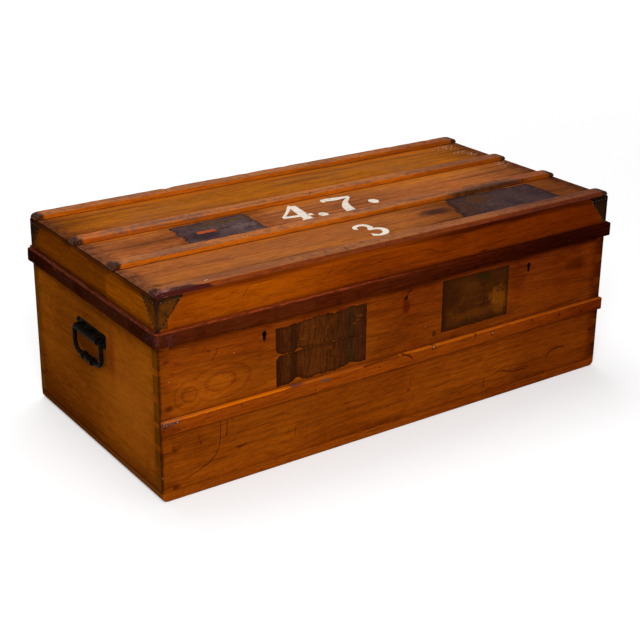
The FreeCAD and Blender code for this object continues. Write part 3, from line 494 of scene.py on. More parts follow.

# %% [markdown]
# ## The lid's boards
# The top has been rubbed, stood on and labelled. Its three boards differ: the rear one is still orange, the
# front one brown. A strip in front of each batten, where nothing could rub, has kept its varnish. Painted
# shade darkens the corner at each batten's foot, and the top of the front edge under the front batten. One
# finish for all three would be quicker, but the lid would look like one sheet.

# %% Lid boards
BATTEN_FEET = (-0.216, -0.0935, -0.0665, 0.0535, 0.0805, 0.216)


def lid_board(name, seed, heart, light, middle, dark, kept):
    w = Wood(name, "X", seed, heart, slant=2.0, wander=4.0, gloss=0.0)
    w.colour(light, middle, dark, rings=0.16, figure=0.4)
    rubbed = w.grade(w.cloud * 0.6 + w.streak * 0.4, 0.44, 0.62)
    w.stain(rubbed * 0.5, w.mix(w.grade(w.streak, 0.4, 0.65), (146, 92, 54), (98, 58, 36)))
    w.dim(w.fibre * 0.5 + w.mottle * 0.5, 0.50, 0.66, 0.35, (0.5, 0.4, 0.36))
    w.dim(w.grime, 0.6, 0.8, 0.5, (0.45, 0.36, 0.32))
    safe = w.within(w.y + w.rag * 0.008, kept[0], kept[1], 0.003)
    w.stain(safe * w.grade(w.cloud, 0.35, 0.55) * 0.6,
            w.mix(w.grade(w.streak, 0.4, 0.7), (180, 94, 10), (132, 62, 10)))
    ends = w.grade(abs(w.x) + (w.cloud * 0.5 + w.grime - 0.75) * 0.05, 0.452, 0.494)
    w.stain(ends * 0.75, w.mix(w.grade(w.grime, 0.42, 0.6), (104, 62, 42), (54, 31, 24)))
    w.dim(w.x + w.sway * 0.1, 0.36, 0.47, 0.7, (0.55, 0.5, 0.55))
    butt = w.grade(abs(w.nx), 0.5, 0.7)
    w.stain(butt, w.mix(w.grade(w.cloud, 0.4, 0.6), (112, 56, 6), (88, 42, 5)))
    w.darken(butt * w.grade(w.z + w.rag * 0.004, 0.356, 0.362) * 0.8, (0.4, 0.36, 0.5))
    arris = w.grade(abs(w.nx), 0.25, 0.4) * w.grade(w.nz + w.rag * 0.3, 0.6, 0.75)
    w.stain(arris * 0.9, (24, 15, 11))
    # Painted shade: a dark line in the corner on each side of every batten's foot.
    for foot in BATTEN_FEET:
        near = w.grade(abs(w.y - foot) + w.rag * 0.003, 0.0032, 0.0006)
        w.darken(near * w.grade(w.nz, 0.5, 0.8) * 0.85, (0.22, 0.15, 0.12))
    rim = w.grade(abs(w.ny), 0.6, 0.85)
    w.stain(rim, w.mix(w.grade(w.streak, 0.4, 0.65), (150, 66, 3), (104, 40, 3)))
    w.darken(rim * w.grade(w.x, -0.25, 0.3) * 0.75, (0.56, 0.46, 0.6))
    # Painted shade: the top of the front edge, just under the front batten, is darker.
    w.darken(rim * w.grade(w.z + w.rag * 0.003, 0.3568, 0.3588) * 0.5, (0.4, 0.3, 0.5))
    corner = w.grade(abs(w.x), 0.45, 0.48) * w.grade(abs(w.y), 0.215, 0.235)
    w.darken(corner * w.grade(w.nz, 0.8, 0.6) * 0.85, (0.32, 0.26, 0.3))
    w.bare = w.grade(w.nz, -0.7, -0.9)
    return w


def paint_flecks(w, centre, reach):
    """Splashes of pale paint: a fine noise past a level, inside an ellipse."""
    flecks = w.grade(w.noise(w.laid(w.at, (2, 3, 0)), 240.0, 2, 0.6), 0.61, 0.65)
    w.stain(flecks * w.spot(w.x, w.y, centre, reach, 0.5, 0.4) * 0.95, (206, 192, 178))


w = lid_board("lid rear", 13, (0.16, 0.46), (172, 98, 24), (154, 84, 32), (88, 44, 20),
              (0.193, 0.216))
for centre, reach in (((0.446, 0.195), (0.030, 0.013)), ((0.455, 0.150), (0.018, 0.010)),
                      ((0.470, 0.125), (0.012, 0.012))):
    paint_flecks(w, centre, reach)
w.marks(w.x, w.y, (((-0.45, 0.09), (0.07, 0.02), 0.7, 1.2, 0.7, (0.4, 0.34, 0.32)),
                   ((-0.47, 0.17), (0.05, 0.06), 0.8, 1.2, 0.6, (0.45, 0.38, 0.36))))
dress(w.finish(), "lid_rear_board")
w = lid_board("lid middle", 14, (-0.02, 0.45), (192, 112, 40), (170, 96, 50), (92, 48, 26),
              (0.042, 0.0535))
w.darken(w.scratch(w.x, w.y, (0.028, 0.052), (0.052, -0.010), 0.003, 0.0009) * 0.9)
w.marks(w.x, w.y, (((-0.40, 0.0), (0.06, 0.03), 0.8, 0.9, 0.5, (0.35, 0.3, 0.3)),
                   ((-0.245, -0.003), (0.108, 0.064), 0.35, 0.9, 0.55, (0.35, 0.3, 0.33)),
                   ((-0.165, 0.04), (0.05, 0.014), 0.6, 0.9, 0.6, (0.35, 0.28, 0.28)),
                   ((-0.27, -0.055), (0.14, 0.018), 0.6, 1.2, 0.85, (0.28, 0.28, 0.3))))
paint_flecks(w, (0.472, 0.035), (0.016, 0.018))
dress(w.finish(), "lid_middle_board")
w = lid_board("lid front", 15, (-0.19, 0.43), (176, 102, 42), (156, 88, 50), (84, 44, 26),
              (-0.104, -0.0935))
x, y = w.x, w.y
w.dim(x + w.sway * 0.15, 0.03, 0.2, 0.7, (0.56, 0.5, 0.5))
w.marks(x, y, (((0.145, -0.140), (0.032, 0.014), 0.5, 1.2, 0.75, (54, 36, 34)),
               ((0.14, -0.203), (0.06, 0.014), 0.5, 0.9, 0.75, (0.4, 0.35, 0.35)),
               ((0.28, -0.155), (0.15, 0.065), 0.25, 0.6, 0.5, (0.45, 0.4, 0.42))))
w.darken(w.grade(x, 0.02, 0.12) * w.grade(y + w.sway * 0.02, -0.185, -0.2) * 0.6, (0.6, 0.5, 0.5))
dress(w.finish(), "lid_front_board")
print("three lid boards")

# %% Lid rails
def rail(name, run, seed, heart, light, middle, dark):
    w = Wood(name, run, seed, heart, slant=3.0, spacing=0.010, gloss=0.0)
    w.colour(light, middle, dark, rings=0.14, figure=0.35)
    w.dim(w.cloud, 0.45, 0.75, 0.4, (0.62, 0.5, 0.42))
    w.dim(w.grime, 0.6, 0.8, 0.5, (0.5, 0.38, 0.33))
    w.dim(w.z + w.rag * 0.006, 0.3125, 0.3093, 0.6, (0.45, 0.3, 0.25))
    if run == "Y":
        w.dim(w.z + w.sway * 0.02, 0.324, 0.310, 0.5, (0.55, 0.5, 0.6))
    w.darken(w.end_grain * 0.45, (0.5, 0.38, 0.3))
    w.bare = w.inner_face()
    return w


w = rail("lid front rail", "X", 17, (-0.40, 0.36), (170, 80, 3), (148, 66, 3), (76, 27, 3))
x, z = w.x, w.z
w.dim(x + w.lean * 0.25, -0.32, -0.12, 0.9, (0.52, 0.38, 0.7))
w.dim(x + w.sway * 0.2, 0.0, 0.35, 0.8, (0.56, 0.46, 0.8))
for start, end, bow in (((0.0306, 0.3420), (0.0767, 0.3294), 0.004), ((-0.13, 0.335), (-0.07, 0.337), 0.002),
                        ((0.16, 0.322), (0.24, 0.324), -0.001), ((-0.16, 0.350), (-0.175, 0.335), 0.001),
                        ((-0.33, 0.352), (-0.342, 0.334), 0.001)):
    w.darken(w.scratch(x, z, start, end, bow, 0.0009) * 0.55, (0.3, 0.2, 0.16))
w.darken(w.spot(x, z, (0.1826, 0.3121), (0.008, 0.002), 0.6, 1.0) * 0.8)
w.darken(w.spot(x, z, (0.10, 0.352), (0.03, 0.004), 0.6, 1.0) * 0.5)
dress(w.finish(), "lid_front_rail")
w = rail("lid back rail", "X", 18, (0.40, 0.38), (146, 70, 5), (128, 57, 4), (72, 28, 4))
dress(w.finish(), "lid_back_rail")
for name, seed, side in (("lid_left_rail", 19, -1), ("lid_right_rail", 20, 1)):
    w = rail(name, "Y", seed, (side * 0.65, 0.36), (156, 84, 3), (134, 66, 3), (74, 34, 3))
    w.dim(w.y + w.lean * 0.03, -0.075, -0.055, 0.8, (0.5, 0.46, 0.5))
    w.dim(w.z + w.rag * 0.006, 0.3515, 0.354, 0.6, (0.45, 0.4, 0.35))
    w.dim(abs(w.y) + w.sway * 0.03, 0.19, HALF_DEPTH, 0.5, (0.45, 0.42, 0.34))
    dress(w.finish(), name)
print("four lid rails")

# %% [markdown]
# ## Surfaces worked out as grids
# Worn pieces are no longer plain blocks: their edges are rounded here and crushed there. They could be
# sculpted by hand, but a bar is easy to describe: a long box whose surface is a grid, with every point
# pulled towards a smaller box inside by the radius of the edge at that place. Whole arrays of points move
# at once, and dents and ripples are added along the outward direction.

# %% Grids and pieces
def grid_faces(rows, columns, round_rows=False, round_columns=False):
    """The four-sided faces of a grid: each joins a point to the next in its row and to those in the row
    after."""
    a = np.arange(rows if round_rows else rows - 1)[:, None]
    b = np.arange(columns if round_columns else columns - 1)[None, :]
    a2, b2 = (a + 1) % rows, (b + 1) % columns
    corners = (a * columns + b, a * columns + b2, a2 * columns + b2, a2 * columns + b)
    return np.stack(np.broadcast_arrays(*corners), -1).reshape(-1, 4)


def many_grids(number, rows, columns, **closed):
    """The faces of equal grids whose points follow each other."""
    first = np.arange(number)[:, None, None] * rows * columns
    return (grid_faces(rows, columns, **closed) + first).reshape(-1, 4)


def make_piece(name, points, faces, material, body, stands_for=(), facing=None, values=None,
               weld=1e-6):
    """A mesh from arrays. Its faces are turned outwards: the sum of (face centre . face normal) is three
    times the volume of a closed shell, so a negative sum means that it is inside out. An open sheet is
    turned to facing."""
    points = np.asarray(points, float).reshape(-1, 3)
    corner = points[faces]
    normal = np.cross(corner[:, 2] - corner[:, 0], corner[:, 3] - corner[:, 1])
    towards = corner.mean(1) - points.mean(0) if facing is None else np.asarray(facing, float)
    if (normal * towards).sum() < 0:
        faces = faces[:, ::-1]
    mesh = bpy.data.meshes.new(name)
    mesh.from_pydata(points.tolist(), [], faces.tolist())
    for key, value in (values or {}).items():
        shown = mesh.attributes.new(key, "FLOAT", "POINT")
        shown.data.foreach_set("value", np.asarray(value, np.float32).ravel())
    if weld:
        work = bmesh.new()
        work.from_mesh(mesh)
        bmesh.ops.remove_doubles(work, verts=work.verts, dist=weld)
        bmesh.ops.dissolve_degenerate(work, dist=weld / 2, edges=work.edges)
        work.to_mesh(mesh)
        work.free()
    mesh.shade_smooth()
    piece = bpy.data.objects.new(name, mesh)
    bpy.context.scene.collection.objects.link(piece)
    mesh.materials.append(material)
    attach(piece, body)
    if stands_for:
        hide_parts(*stands_for)
    print(f"{name}: {len(mesh.polygons)} faces on {body}")
    return piece


def ripple(t, seed, waves):
    """A sum of sine waves with chance phases; waves lists the length and the height of each."""
    phase = np.random.default_rng(seed).uniform(0, 2 * np.pi, len(waves))
    return sum(height * np.sin(2 * np.pi * t / length + p) for p, (length, height) in zip(phase, waves))


def dents(place, seed, number, reach, depth, spread):
    """Chance hollows: each is a bell curve of the distance to its centre, and they are added up.
    place is an array of points, spread the low and high corners between which the centres lie."""
    chance = np.random.default_rng(seed)
    centres = chance.uniform(spread[0], spread[1], (number, place.shape[-1]))
    sizes = chance.uniform(*reach, number)
    depths = chance.uniform(*depth, number)
    away = np.linalg.norm(place[..., None, :] - centres, axis=-1) / sizes
    return (depths * np.exp(-away ** 2)).sum(-1)


# %% A bar with worn edges
def bar(low, high, run, radius, rows=300, side=10, cap=4):
    """The surface of a box from low to high as a grid: along it, with rows closer at the ends, and round it,
    with points closer at the edges; cap rows shrink to the middle of each end. radius is a function of the
    point on the box: q is the nearest point of the box that is smaller by radius, and the result is q +
    radius x direction. It returns points, outward directions, and how far each point is round an edge, 0 on
    a face to 1 on an edge."""
    low, high = np.array(low, float), np.array(high, float)
    half, centre = (high - low) / 2, (high + low) / 2
    shrink = np.linspace(0, 1, cap, endpoint=False) ** 0.5
    reach = np.concatenate([-np.ones(cap), -np.cos(np.linspace(0, np.pi, rows)), np.ones(cap)])
    size = np.concatenate([shrink, np.ones(rows), shrink[::-1]])
    step = -np.cos(np.linspace(0, np.pi, side, endpoint=False))
    one = np.ones(side)
    loop = np.stack([np.concatenate([step, one, -step, -one]), np.concatenate([-one, step, one, -step])], -1)
    flat = np.empty((len(reach), 4 * side, 3))
    axis = "XY".index(run)
    flat[..., axis] = reach[:, None]
    flat[..., [1 - axis, 2]] = loop[None] * size[:, None, None]
    box = flat * half
    r = np.broadcast_to(np.asarray(radius(box + centre, flat)), box.shape[:2])[..., None]
    inner = np.clip(box, -(half - r), half - r)
    away = box - inner
    outward = away / np.linalg.norm(away, axis=-1, keepdims=True)
    edge = np.clip((1 - np.abs(outward).max(-1)) / 0.29, 0, 1)
    return inner + r * outward + centre, outward, edge, grid_faces(len(reach), 4 * side, round_columns=True)


def thicken(piece, thickness, offset):
    """Gives an open sheet its thickness: outwards where offset is 1, and inwards where it is -1."""
    added = piece.modifiers.new("thickness", "SOLIDIFY")
    added.thickness, added.offset = thickness, offset


def node_box(name):
    return [np.array(corner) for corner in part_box(name)]


print("bars, grids, ripples and dents")

# %% [markdown]
# ## Lid battens
# Four strips of hardwood run the lid's length and take the knocks when trunks are stacked. Their tops are
# rubbed to a dull purple-brown, their front faces are still orange, and the front one has lost a splinter
# at its left end. A CAD strip has one radius all along, so these are made again with a radius that comes
# and goes.

# %% Batten finish and battens
RUBBED = (166, 98, 44), (120, 68, 34)


def strip_finish(name, seed, face, dark):
    w = Wood(name, "X", seed, (0.0, 0.62), slant=1.0, gloss=0.06)
    w.colour(*face, dark, rings=0.1, figure=0.3)
    on_top = w.grade(w.nz, 0.55, 0.9) * w.grade(w.cloud + w.rag * 0.6, 0.22, 0.5)
    w.stain(on_top * 0.9, w.mix(w.grade(w.streak * 0.5 + w.grime * 0.5, 0.4, 0.62), *RUBBED))
    worn = w.grade(w.cloud * 0.6 + w.fleck * 0.4 - w.x * 0.12, 0.52, 0.62)
    w.stain(w.grade(w.nz, 0.4, 0.8) * worn * 0.5, (104, 66, 50))
    w.dim(w.x + w.sway * 0.25, 0.15, 0.42, 0.8, (0.5, 0.42, 0.38))
    w.stain(w.grade(w.value("wear") + w.rag * 0.9, 0.45, 0.8) * 0.6, dark)
    w.dim(w.grime, 0.6, 0.78, 0.5, (0.45, 0.35, 0.32))
    tip = w.grade(abs(w.x) + w.rag * 0.02, 0.479, 0.489)
    w.stain(tip * 0.92, w.mix(w.grade(w.grime, 0.42, 0.6), (46, 23, 14), (20, 11, 8)))
    glint = w.grade(w.noise(w.laid(w.at, (1, 2, 3)), 330.0, 2), 0.69, 0.73)
    w.stain(glint * tip * w.grade(w.z, 0.36, 0.37) * 0.6, (170, 150, 140))
    return w


END_ROUND = 18 * MM


def batten(name, seed, material, scar=None):
    """A worn bar whose ends fall off: with p from 0 to 1 over the last END_ROUND, the height is multiplied by
    0.45 + 0.55 sqrt(1 - p^2.2), the width by 1 - 0.06 p^2 and the length by 1 + 0.0022 p^2."""
    low, high = node_box(name)

    def radius(place, flat):
        end = np.clip((np.abs(flat[..., 0]) - 0.985) / 0.015, 0, 1)
        waves = [(0.31, 0.5 * MM), (0.083, 0.35 * MM), (0.027, 0.2 * MM)]
        r = 1.3 * MM + np.abs(ripple(place[..., 0], seed, waves))
        upper = np.clip(flat[..., 2] + 0.5, 0, 1)
        return np.clip((r + end * 2.6 * MM) * (0.3 + 0.7 * upper), 0.5 * MM, 4.2 * MM)

    points, outward, edge, faces = bar(low, high, "X", radius, rows=360)
    above = np.clip((points[..., 2] - low[2]) / (high[2] - low[2]), 0, 1)
    sunk = dents(points[..., :2], seed + 50, 26, (0.004, 0.012), (0.1 * MM, 0.9 * MM),
                 (low[:2] - 0.002, high[:2] + 0.002)) * above
    hollows = ripple(points[..., 0], seed + 1, [(0.047, 0.15 * MM), (0.21, 0.25 * MM)])
    sunk += above * np.clip(hollows, 0, 1) * 0.8
    if scar is not None:
        sunk = sunk + scar(points, above)
    points = points - outward * sunk[..., None]
    past = np.clip((np.abs(points[..., 0]) - high[0] + END_ROUND) / END_ROUND, 0, 1)
    centre = (low[1] + high[1]) / 2
    points[..., 1] = centre + (points[..., 1] - centre) * (1 - 0.06 * past ** 2)
    points[..., 2] = low[2] + (points[..., 2] - low[2]) * (0.45 + 0.55 * np.sqrt(1 - past ** 2.2))
    points[..., 0] *= 1 + 0.0022 * past ** 2
    wear = edge * 0.6 + np.clip(sunk / (1.2 * MM), 0, 1) * 0.6
    make_piece(name + "_worn", points, faces, material, "lid", [name], values={"wear": wear})


def splinter(points, above):
    """The front batten has lost a splinter over its first 115 mm. It was 13 mm wide at the left end and ran
    out to a point: its width falls with the 0.6th power of the distance from the point."""
    width = 0.013 * np.clip((-0.383 - points[..., 0]) / 0.09, 0, 1) ** 0.6
    front = np.clip((width - HALF_DEPTH - points[..., 1]) / 0.004, 0, 1)
    return front * above * (2.4 + 0.5 * ripple(points[..., 0], 3, [(0.03, 1.0)])) * MM


for name, seed in (("lid_batten_rear", 41), ("lid_batten_mid_rear", 42), ("lid_batten_mid_front", 43)):
    w = strip_finish(name, seed, ((206, 106, 12), (176, 80, 8)), (74, 32, 12))
    if name == "lid_batten_mid_front":
        blot = w.spot(w.x, w.y, (0.315, -0.0935), (0.10, 0.012), 0.25, 0.7)
        w.stain(blot * 0.85, w.mix(w.grade(w.grime, 0.4, 0.6), (30, 20, 15), (66, 40, 26)))
        flake = w.grade(0 - w.ny, 0.5, 0.8) * w.grade(w.streak * 0.5 + w.mottle * 0.5, 0.53, 0.58)
        w.stain(blot * flake * 0.7, (128, 80, 26))
    if name == "lid_batten_mid_rear":
        dusty = w.within(w.x + w.sway * 0.2, -0.47, -0.24, 0.02) * w.grade(
            w.grime * 0.5 + w.streak * 0.5, 0.42, 0.54)
        w.stain(dusty * w.grade(w.z + w.rag * 0.004, 0.369, 0.372) * 0.7, (110, 72, 58))
    batten(name, seed, w.finish())
w = strip_finish("lid batten front", 44, ((138, 58, 5), (112, 43, 4)), (58, 20, 6))
x, y = w.x, w.y
w.dim(x + w.sway * 0.2, -0.1, 0.1, 0.7, (0.7, 0.62, 0.62))
w.dim(x, 0.1, 0.35, 0.7, (1.0, 0.88, 0.55))
width = w.grade(0 - x, 0.383, 0.462) * 0.0125
torn = w.grade(width - y + w.rag * 0.003, 0.2428, 0.2442)
w.stain(torn * 0.92, w.mix(w.streak, (66, 15, 10), (36, 9, 8)))
w.stain(w.grade(w.streak * 0.5 + w.mottle * 0.5, 0.52, 0.6) * torn * w.grade(x, -0.46, -0.478) * 0.7,
        (150, 96, 84))
w.stain(w.scratch(x, y, (-0.4060, -0.2335), (-0.3990, -0.2310), 0.0, 0.0007) * 0.8, (206, 184, 164))
batten("lid_batten_front", 44, w.finish(), splinter)

# %% [markdown]
# ## The front batten
# One batten runs along the front, over the joint between its two boards. Its face has the boards' colour,
# its rubbed top edge is a bright orange line, and its left end is worn bluish. It is made as the lid's
# battens are, with a list of chips, each a bell-shaped hollow at a place of its own.

# %% Front batten
CHIPS = ((0.004, 0.152, 0.014, 1.8 * MM), (-0.493, 0.150, 0.012, 1.8 * MM), (-0.07, 0.153, 0.03, 0.9 * MM),
         (0.2466, 0.1525, 0.010, 1.4 * MM), (0.33, 0.128, 0.012, 0.8 * MM))


def front_strip_shape():
    low, high = node_box("front_batten")

    def radius(place, flat):
        waves = [(0.27, 0.5 * MM), (0.061, 0.35 * MM), (0.023, 0.2 * MM)]
        return np.clip(1.8 * MM + np.abs(ripple(place[..., 0], 51, waves)), 0.6 * MM, 3.2 * MM)

    points, outward, edge, faces = bar(low, high, "X", radius, rows=380)
    away = np.clip((high[1] - points[..., 1]) / (high[1] - low[1]), 0, 1)
    spread = low[::2], high[::2]
    sunk = dents(points[..., ::2], 111, 22, (0.004, 0.011), (0.1 * MM, 0.8 * MM), spread) * away
    for centre, top, reach, depth in CHIPS:
        bell = np.exp(-((points[..., 0] - centre) / reach) ** 2 - ((points[..., 2] - top) / 0.007) ** 2)
        sunk = sunk + bell * depth * away
    return points - outward * sunk[..., None], faces, edge * 0.5 + np.clip(sunk / (1.2 * MM), 0, 1) * 0.6


NAIL_HOLE = (0.25, 0.2, 0.17)


def front_strip_finish():
    w = Wood("front batten", "X", 51, (0.0, 0.62), slant=1.0, gloss=0.0)
    x, z = w.x, w.z
    w.colour((158, 74, 8), (136, 58, 6), (66, 24, 4), rings=0.08, figure=0.3)
    w.dim(x, -0.15, 0.5, 0.9, (0.56, 0.42, 0.55))
    w.dim(x + w.sway * 0.1, 0.34, 0.46, 0.7, (0.55, 0.45, 0.6))
    w.dim(w.grime, 0.58, 0.78, 0.5, (0.45, 0.35, 0.32))
    crest = w.grade(z - w.grade(x, -0.3, 0.2) * 0.0006 + w.rag * 0.003, 0.1497, 0.1512)
    worn_thin = w.within(x + w.rag * 0.02, -0.255, -0.225, 0.01)
    w.stain(crest * (1 - worn_thin) * 0.92, w.mix(w.grade(w.streak, 0.4, 0.68), (206, 104, 6), (150, 66, 6)))
    w.stain(crest * w.grade(x + w.sway * 0.1, -0.26, -0.2) * 0.45, (150, 72, 20))
    w.darken(crest * w.grade(x, -0.05, 0.5) * 0.35, (0.66, 0.46, 0.4))
    w.stain(crest * worn_thin * w.grade(w.grime, 0.4, 0.5) * 0.8, (84, 60, 56))
    w.stain(w.grade(w.value("wear") + w.rag * 0.9, 0.6, 0.95) * 0.6, (96, 42, 8))
    scuffs = w.grade(w.streak * 0.5 + w.grime * 0.5, 0.40, 0.52)
    edge_line = 0.139 + (x + 0.5) * 0.28
    tongue = w.grade(z - edge_line + w.rag * 0.006, -0.001, 0.001) * w.grade(x, -0.455, -0.470)
    w.stain(tongue * scuffs * 0.85, w.mix(w.grade(w.fleck, 0.45, 0.6), (120, 76, 60), (64, 34, 24)))
    glint = w.grade(w.noise(w.laid(w.at, (1, 2, 3)), 420.0, 2), 0.66, 0.71)
    w.stain(glint * tongue * 0.9, (206, 192, 190))
    w.marks(x, z, [((-0.486, 0.136), (0.014, 0.008), 0.5, 0.7, 0.45, (0.3, 0.2, 0.18))])
    w.stain(crest * w.grade(x, -0.36, -0.44) * 0.65, (192, 98, 20))
    w.darken(w.grade(x, 0.25, 0.4) * w.grade(z, 0.138, 0.130) * 0.6, (0.6, 0.5, 0.5))
    w.darken(w.scratch(x, z, (-0.012, 0.151), (0.016, 0.138), 0.004, 0.0015) * 0.95)
    w.darken(w.scratch(x, z, (-0.10, 0.150), (-0.012, 0.151), 0.0006, 0.0015) * 0.85)
    for centre in ((0.064, 0.150), (0.208, 0.144)):
        w.marks(x, z, ((centre, (0.0042, 0.0042), 0.4, 0, 0.7, NAIL_HOLE),
                       (centre, (0.0018, 0.0018), 0.5, 0, 0.9, (168, 122, 84))))
    w.marks(x, z, [(centre, (0.003, 0.003), 0.4, 0, 0.8, NAIL_HOLE)
                   for centre in ((0.165, 0.150), (0.308, 0.147), (0.3815, 0.142), (0.4416, 0.135))]
            + [(centre, (0.006, 0.002), 0.6, 1.2, 0.7, (78, 62, 54))
               for centre in ((-0.184, 0.1475), (-0.176, 0.1462))])
    w.dim(abs(x), 0.493, 0.499, 0.5, (0.4, 0.3, 0.28))
    return w.finish()


points, faces, wear = front_strip_shape()
make_piece("front_batten_worn", points, faces, front_strip_finish(), "chest", ["front_batten"],
           values={"wear": wear})

# %% [markdown]
# ## The dark band
# A band of dark red-brown hardwood runs round the lid's lower edge and laps over the joint. Its upper edge
# is rubbed red, and its top face is painted lighter where light from above falls on it; its end grain shows
# at the corners. The front and the sides are bars like the battens; at the ends the front one is drawn in to
# the rounded corner of the frame.

# %% Band
def band_finish(name, run, seed):
    w = Wood(name, run, seed, (-0.3, 0.5), slant=2.0, gloss=0.0)
    w.colour((84, 28, 5), (62, 18, 3), (24, 7, 2), rings=0.2, figure=0.5)
    w.stain(w.grade(w.cloud, 0.45, 0.7) * 0.6, (52, 18, 8))
    rubbed = w.grade(w.value("wear") + w.rag * 0.8, 0.3, 0.75) * w.grade(w.z, 0.297, 0.306)
    left = w.grade(w.x + w.sway * 0.1, 0.1, -0.2)
    w.stain(left * w.grade(w.cloud, 0.35, 0.6) * 0.6, (92, 38, 12))
    w.dim(w.fleck * 0.5 + w.mottle * 0.5, 0.5, 0.62, 0.5, (0.45, 0.4, 0.45))
    # The rubbed upper edge, and the whole top face as painted light from above, take the rubbed red.
    w.stain((rubbed | w.grade(w.nz, 0.3, 0.7)) * (left * 0.8 + 0.14),
            w.mix(w.grade(w.mottle, 0.4, 0.65), (146, 64, 28), (92, 34, 16)))
    w.stain(w.grade(w.mottle * 0.6 + w.cloud * 0.4, 0.5, 0.64) * (left * 0.35 + 0.1), (112, 48, 24))
    near = w.within(w.x + w.rag * 0.02, -0.51, -0.465, 0.01) * w.grade(0 - w.y, 0.2, 0.23)
    w.stain(near * w.grade(w.speckle * 0.5 + w.grime * 0.5, 0.52, 0.6) * 0.5, (104, 66, 60))
    if run == "Y":
        w.darken(1.0, (0.56, 0.72, 1.0))
    w.dim(w.x, -0.43, -0.5, 0.6, (0.6, 0.55, 0.8))
    w.dim(w.grime, 0.58, 0.75, 0.6, (0.35, 0.28, 0.25))
    w.darken(w.end_grain * 0.5, (0.4, 0.35, 0.33))
    w.dim(w.x, -0.1, 0.4, 0.95, (0.33, 0.24, 0.3))
    return w.finish(0.0003)


def band(name, run, seed, corner=0.0):
    low, high = node_box(name)
    axis = "XY".index(run)
    other = 1 - axis
    outer = -1 if low[other] + high[other] < 0 else 1
    face = high[other] if outer > 0 else low[other]

    def radius(place, flat):
        upper = np.clip(flat[..., 2], 0, 1)
        r = 0.9 * MM + upper * (1.5 * MM + np.abs(ripple(place[..., axis], seed, [
            (0.19, 0.5 * MM), (0.067, 0.4 * MM), (0.021, 0.25 * MM)])))
        return np.clip(r, 0.5 * MM, 3.4 * MM)

    points, outward, edge, faces = bar(low, high, run, radius, rows=360 if run == "X" else 200)
    away = np.clip(1 - np.abs(points[..., other] - face) / (high[other] - low[other]), 0, 1)
    flat_place = points[..., [axis, 2]]
    sunk = dents(flat_place, seed + 70, 30, (0.004, 0.012), (0.1 * MM, 0.8 * MM),
                 (low[[axis, 2]], high[[axis, 2]] + 0.001)) * away
    points = points - outward * sunk[..., None]
    if corner:
        inward = np.clip(corner - np.abs(points[..., other] - face), 0, corner)
        limit = high[axis] - corner + np.sqrt(corner ** 2 - inward ** 2)
        points[..., axis] *= limit / high[axis]
    wear = edge * 0.6 + np.clip(sunk / (1.0 * MM), 0, 1) * 0.5
    make_piece(name + "_worn", points, faces, band_finish(name, run, seed), "lid", [name],
               values={"wear": wear})


band("band_front", "X", 61, corner=8.8 * MM)
band("band_left", "Y", 62)
band("band_right", "Y", 63)
w = Wood("band back", "X", 64, (-0.3, 0.5), gloss=0.05)
w.colour((82, 28, 8), (64, 19, 5), (26, 8, 4), rings=0.2, figure=0.5)
# The top edge and face are lighter: rubbed, and painted light from above as on the other bands.
w.stain(w.grade(w.z + w.rag * 0.006, 0.306, 0.309) * 0.6, (118, 48, 24))
w.dim(w.grime, 0.55, 0.75, 0.6, (0.35, 0.28, 0.25))
dress(w.finish(0.0003), "band_back")

# %% [markdown]
# ## Iron and steel
# The handles are black japanned iron with a few rubbed specks. The hinges are plain rusty iron, the locks
# and their bolts steel that has dulled. One even colour for each would be simpler, but old metal never has
# it: each is a base with stains of rust and specks of polish where a noise passes a level, and its
# roughness follows the same pattern.

# %% Metals
def iron(name, base, stain, polish, seed, metal=0.7, rough=(0.35, 0.7), share=0.5, depth=0.00012, soot=None):
    made = Finish(name, metal=metal, gloss=0.0 if soot else 0.05 if metal else 0.02)
    at = made.laid(made.place(), (seed * 1.3, seed * 0.7, seed * 2.1))
    broad = made.noise(at, 40.0, 5, 0.6)
    fine = made.noise(at, 420.0, 4, 0.65)
    colour = made.mix(made.grade(broad, 0.45, 0.68) * share, base, stain)
    colour = made.mix(made.grade(fine * 0.6 + broad * 0.4, 0.56, 0.68) * 0.8, colour, polish)
    if soot:
        sooted = made.value("soot") + (fine * 0.6 + broad * 0.4 - 0.5) * 0.9
        colour = made.mix(made.grade(sooted, 0.3, 0.8) * 0.92, colour, soot)
    made.set(**{"Base Color": colour, "Normal": made.bump(fine * 0.7 + broad, depth),
                "Roughness": made.grade(broad, 0.3, 0.7) * (rough[1] - rough[0]) + rough[0]})
    return made.material


for start, made in (
        ("handle_", iron("black handle iron", (9, 6, 4), (26, 16, 8), (92, 70, 50), 2, metal=0.0,
                         rough=(0.45, 0.7))),
        ("hinge_", iron("hinge iron", (70, 58, 48), (86, 48, 26), (120, 112, 104), 3)),
        ("lock_", iron("lock steel", (120, 108, 86), (82, 58, 34), (170, 160, 140), 4, metal=0.85))):
    named = [name for name in nodes if name.startswith(start)]
    dress(made, *named)
    print(made.name, "on", len(named), "pieces")

# %% [markdown]
# ## Corner guards
# Thin sheet guards wrap the lid's upright corners, wide at the top and narrow below, each held by a row of
# tacks along its slanted edge. They are bent tinplate, painted olive and rubbed dark. A sheet is a surface
# of two parameters: the way round the corner and the height; its thickness is given by a modifier.

# %% Guards and tacks
GUARD_HEIGHT, GUARD_WIDTH, GUARD_BEND = (0.3093, 0.3610), (3 * MM, 48 * MM), 2.2 * MM


def between(ends, share):
    """The number at that share of the way from the first to the second."""
    return ends[0] + (ends[1] - ends[0]) * share


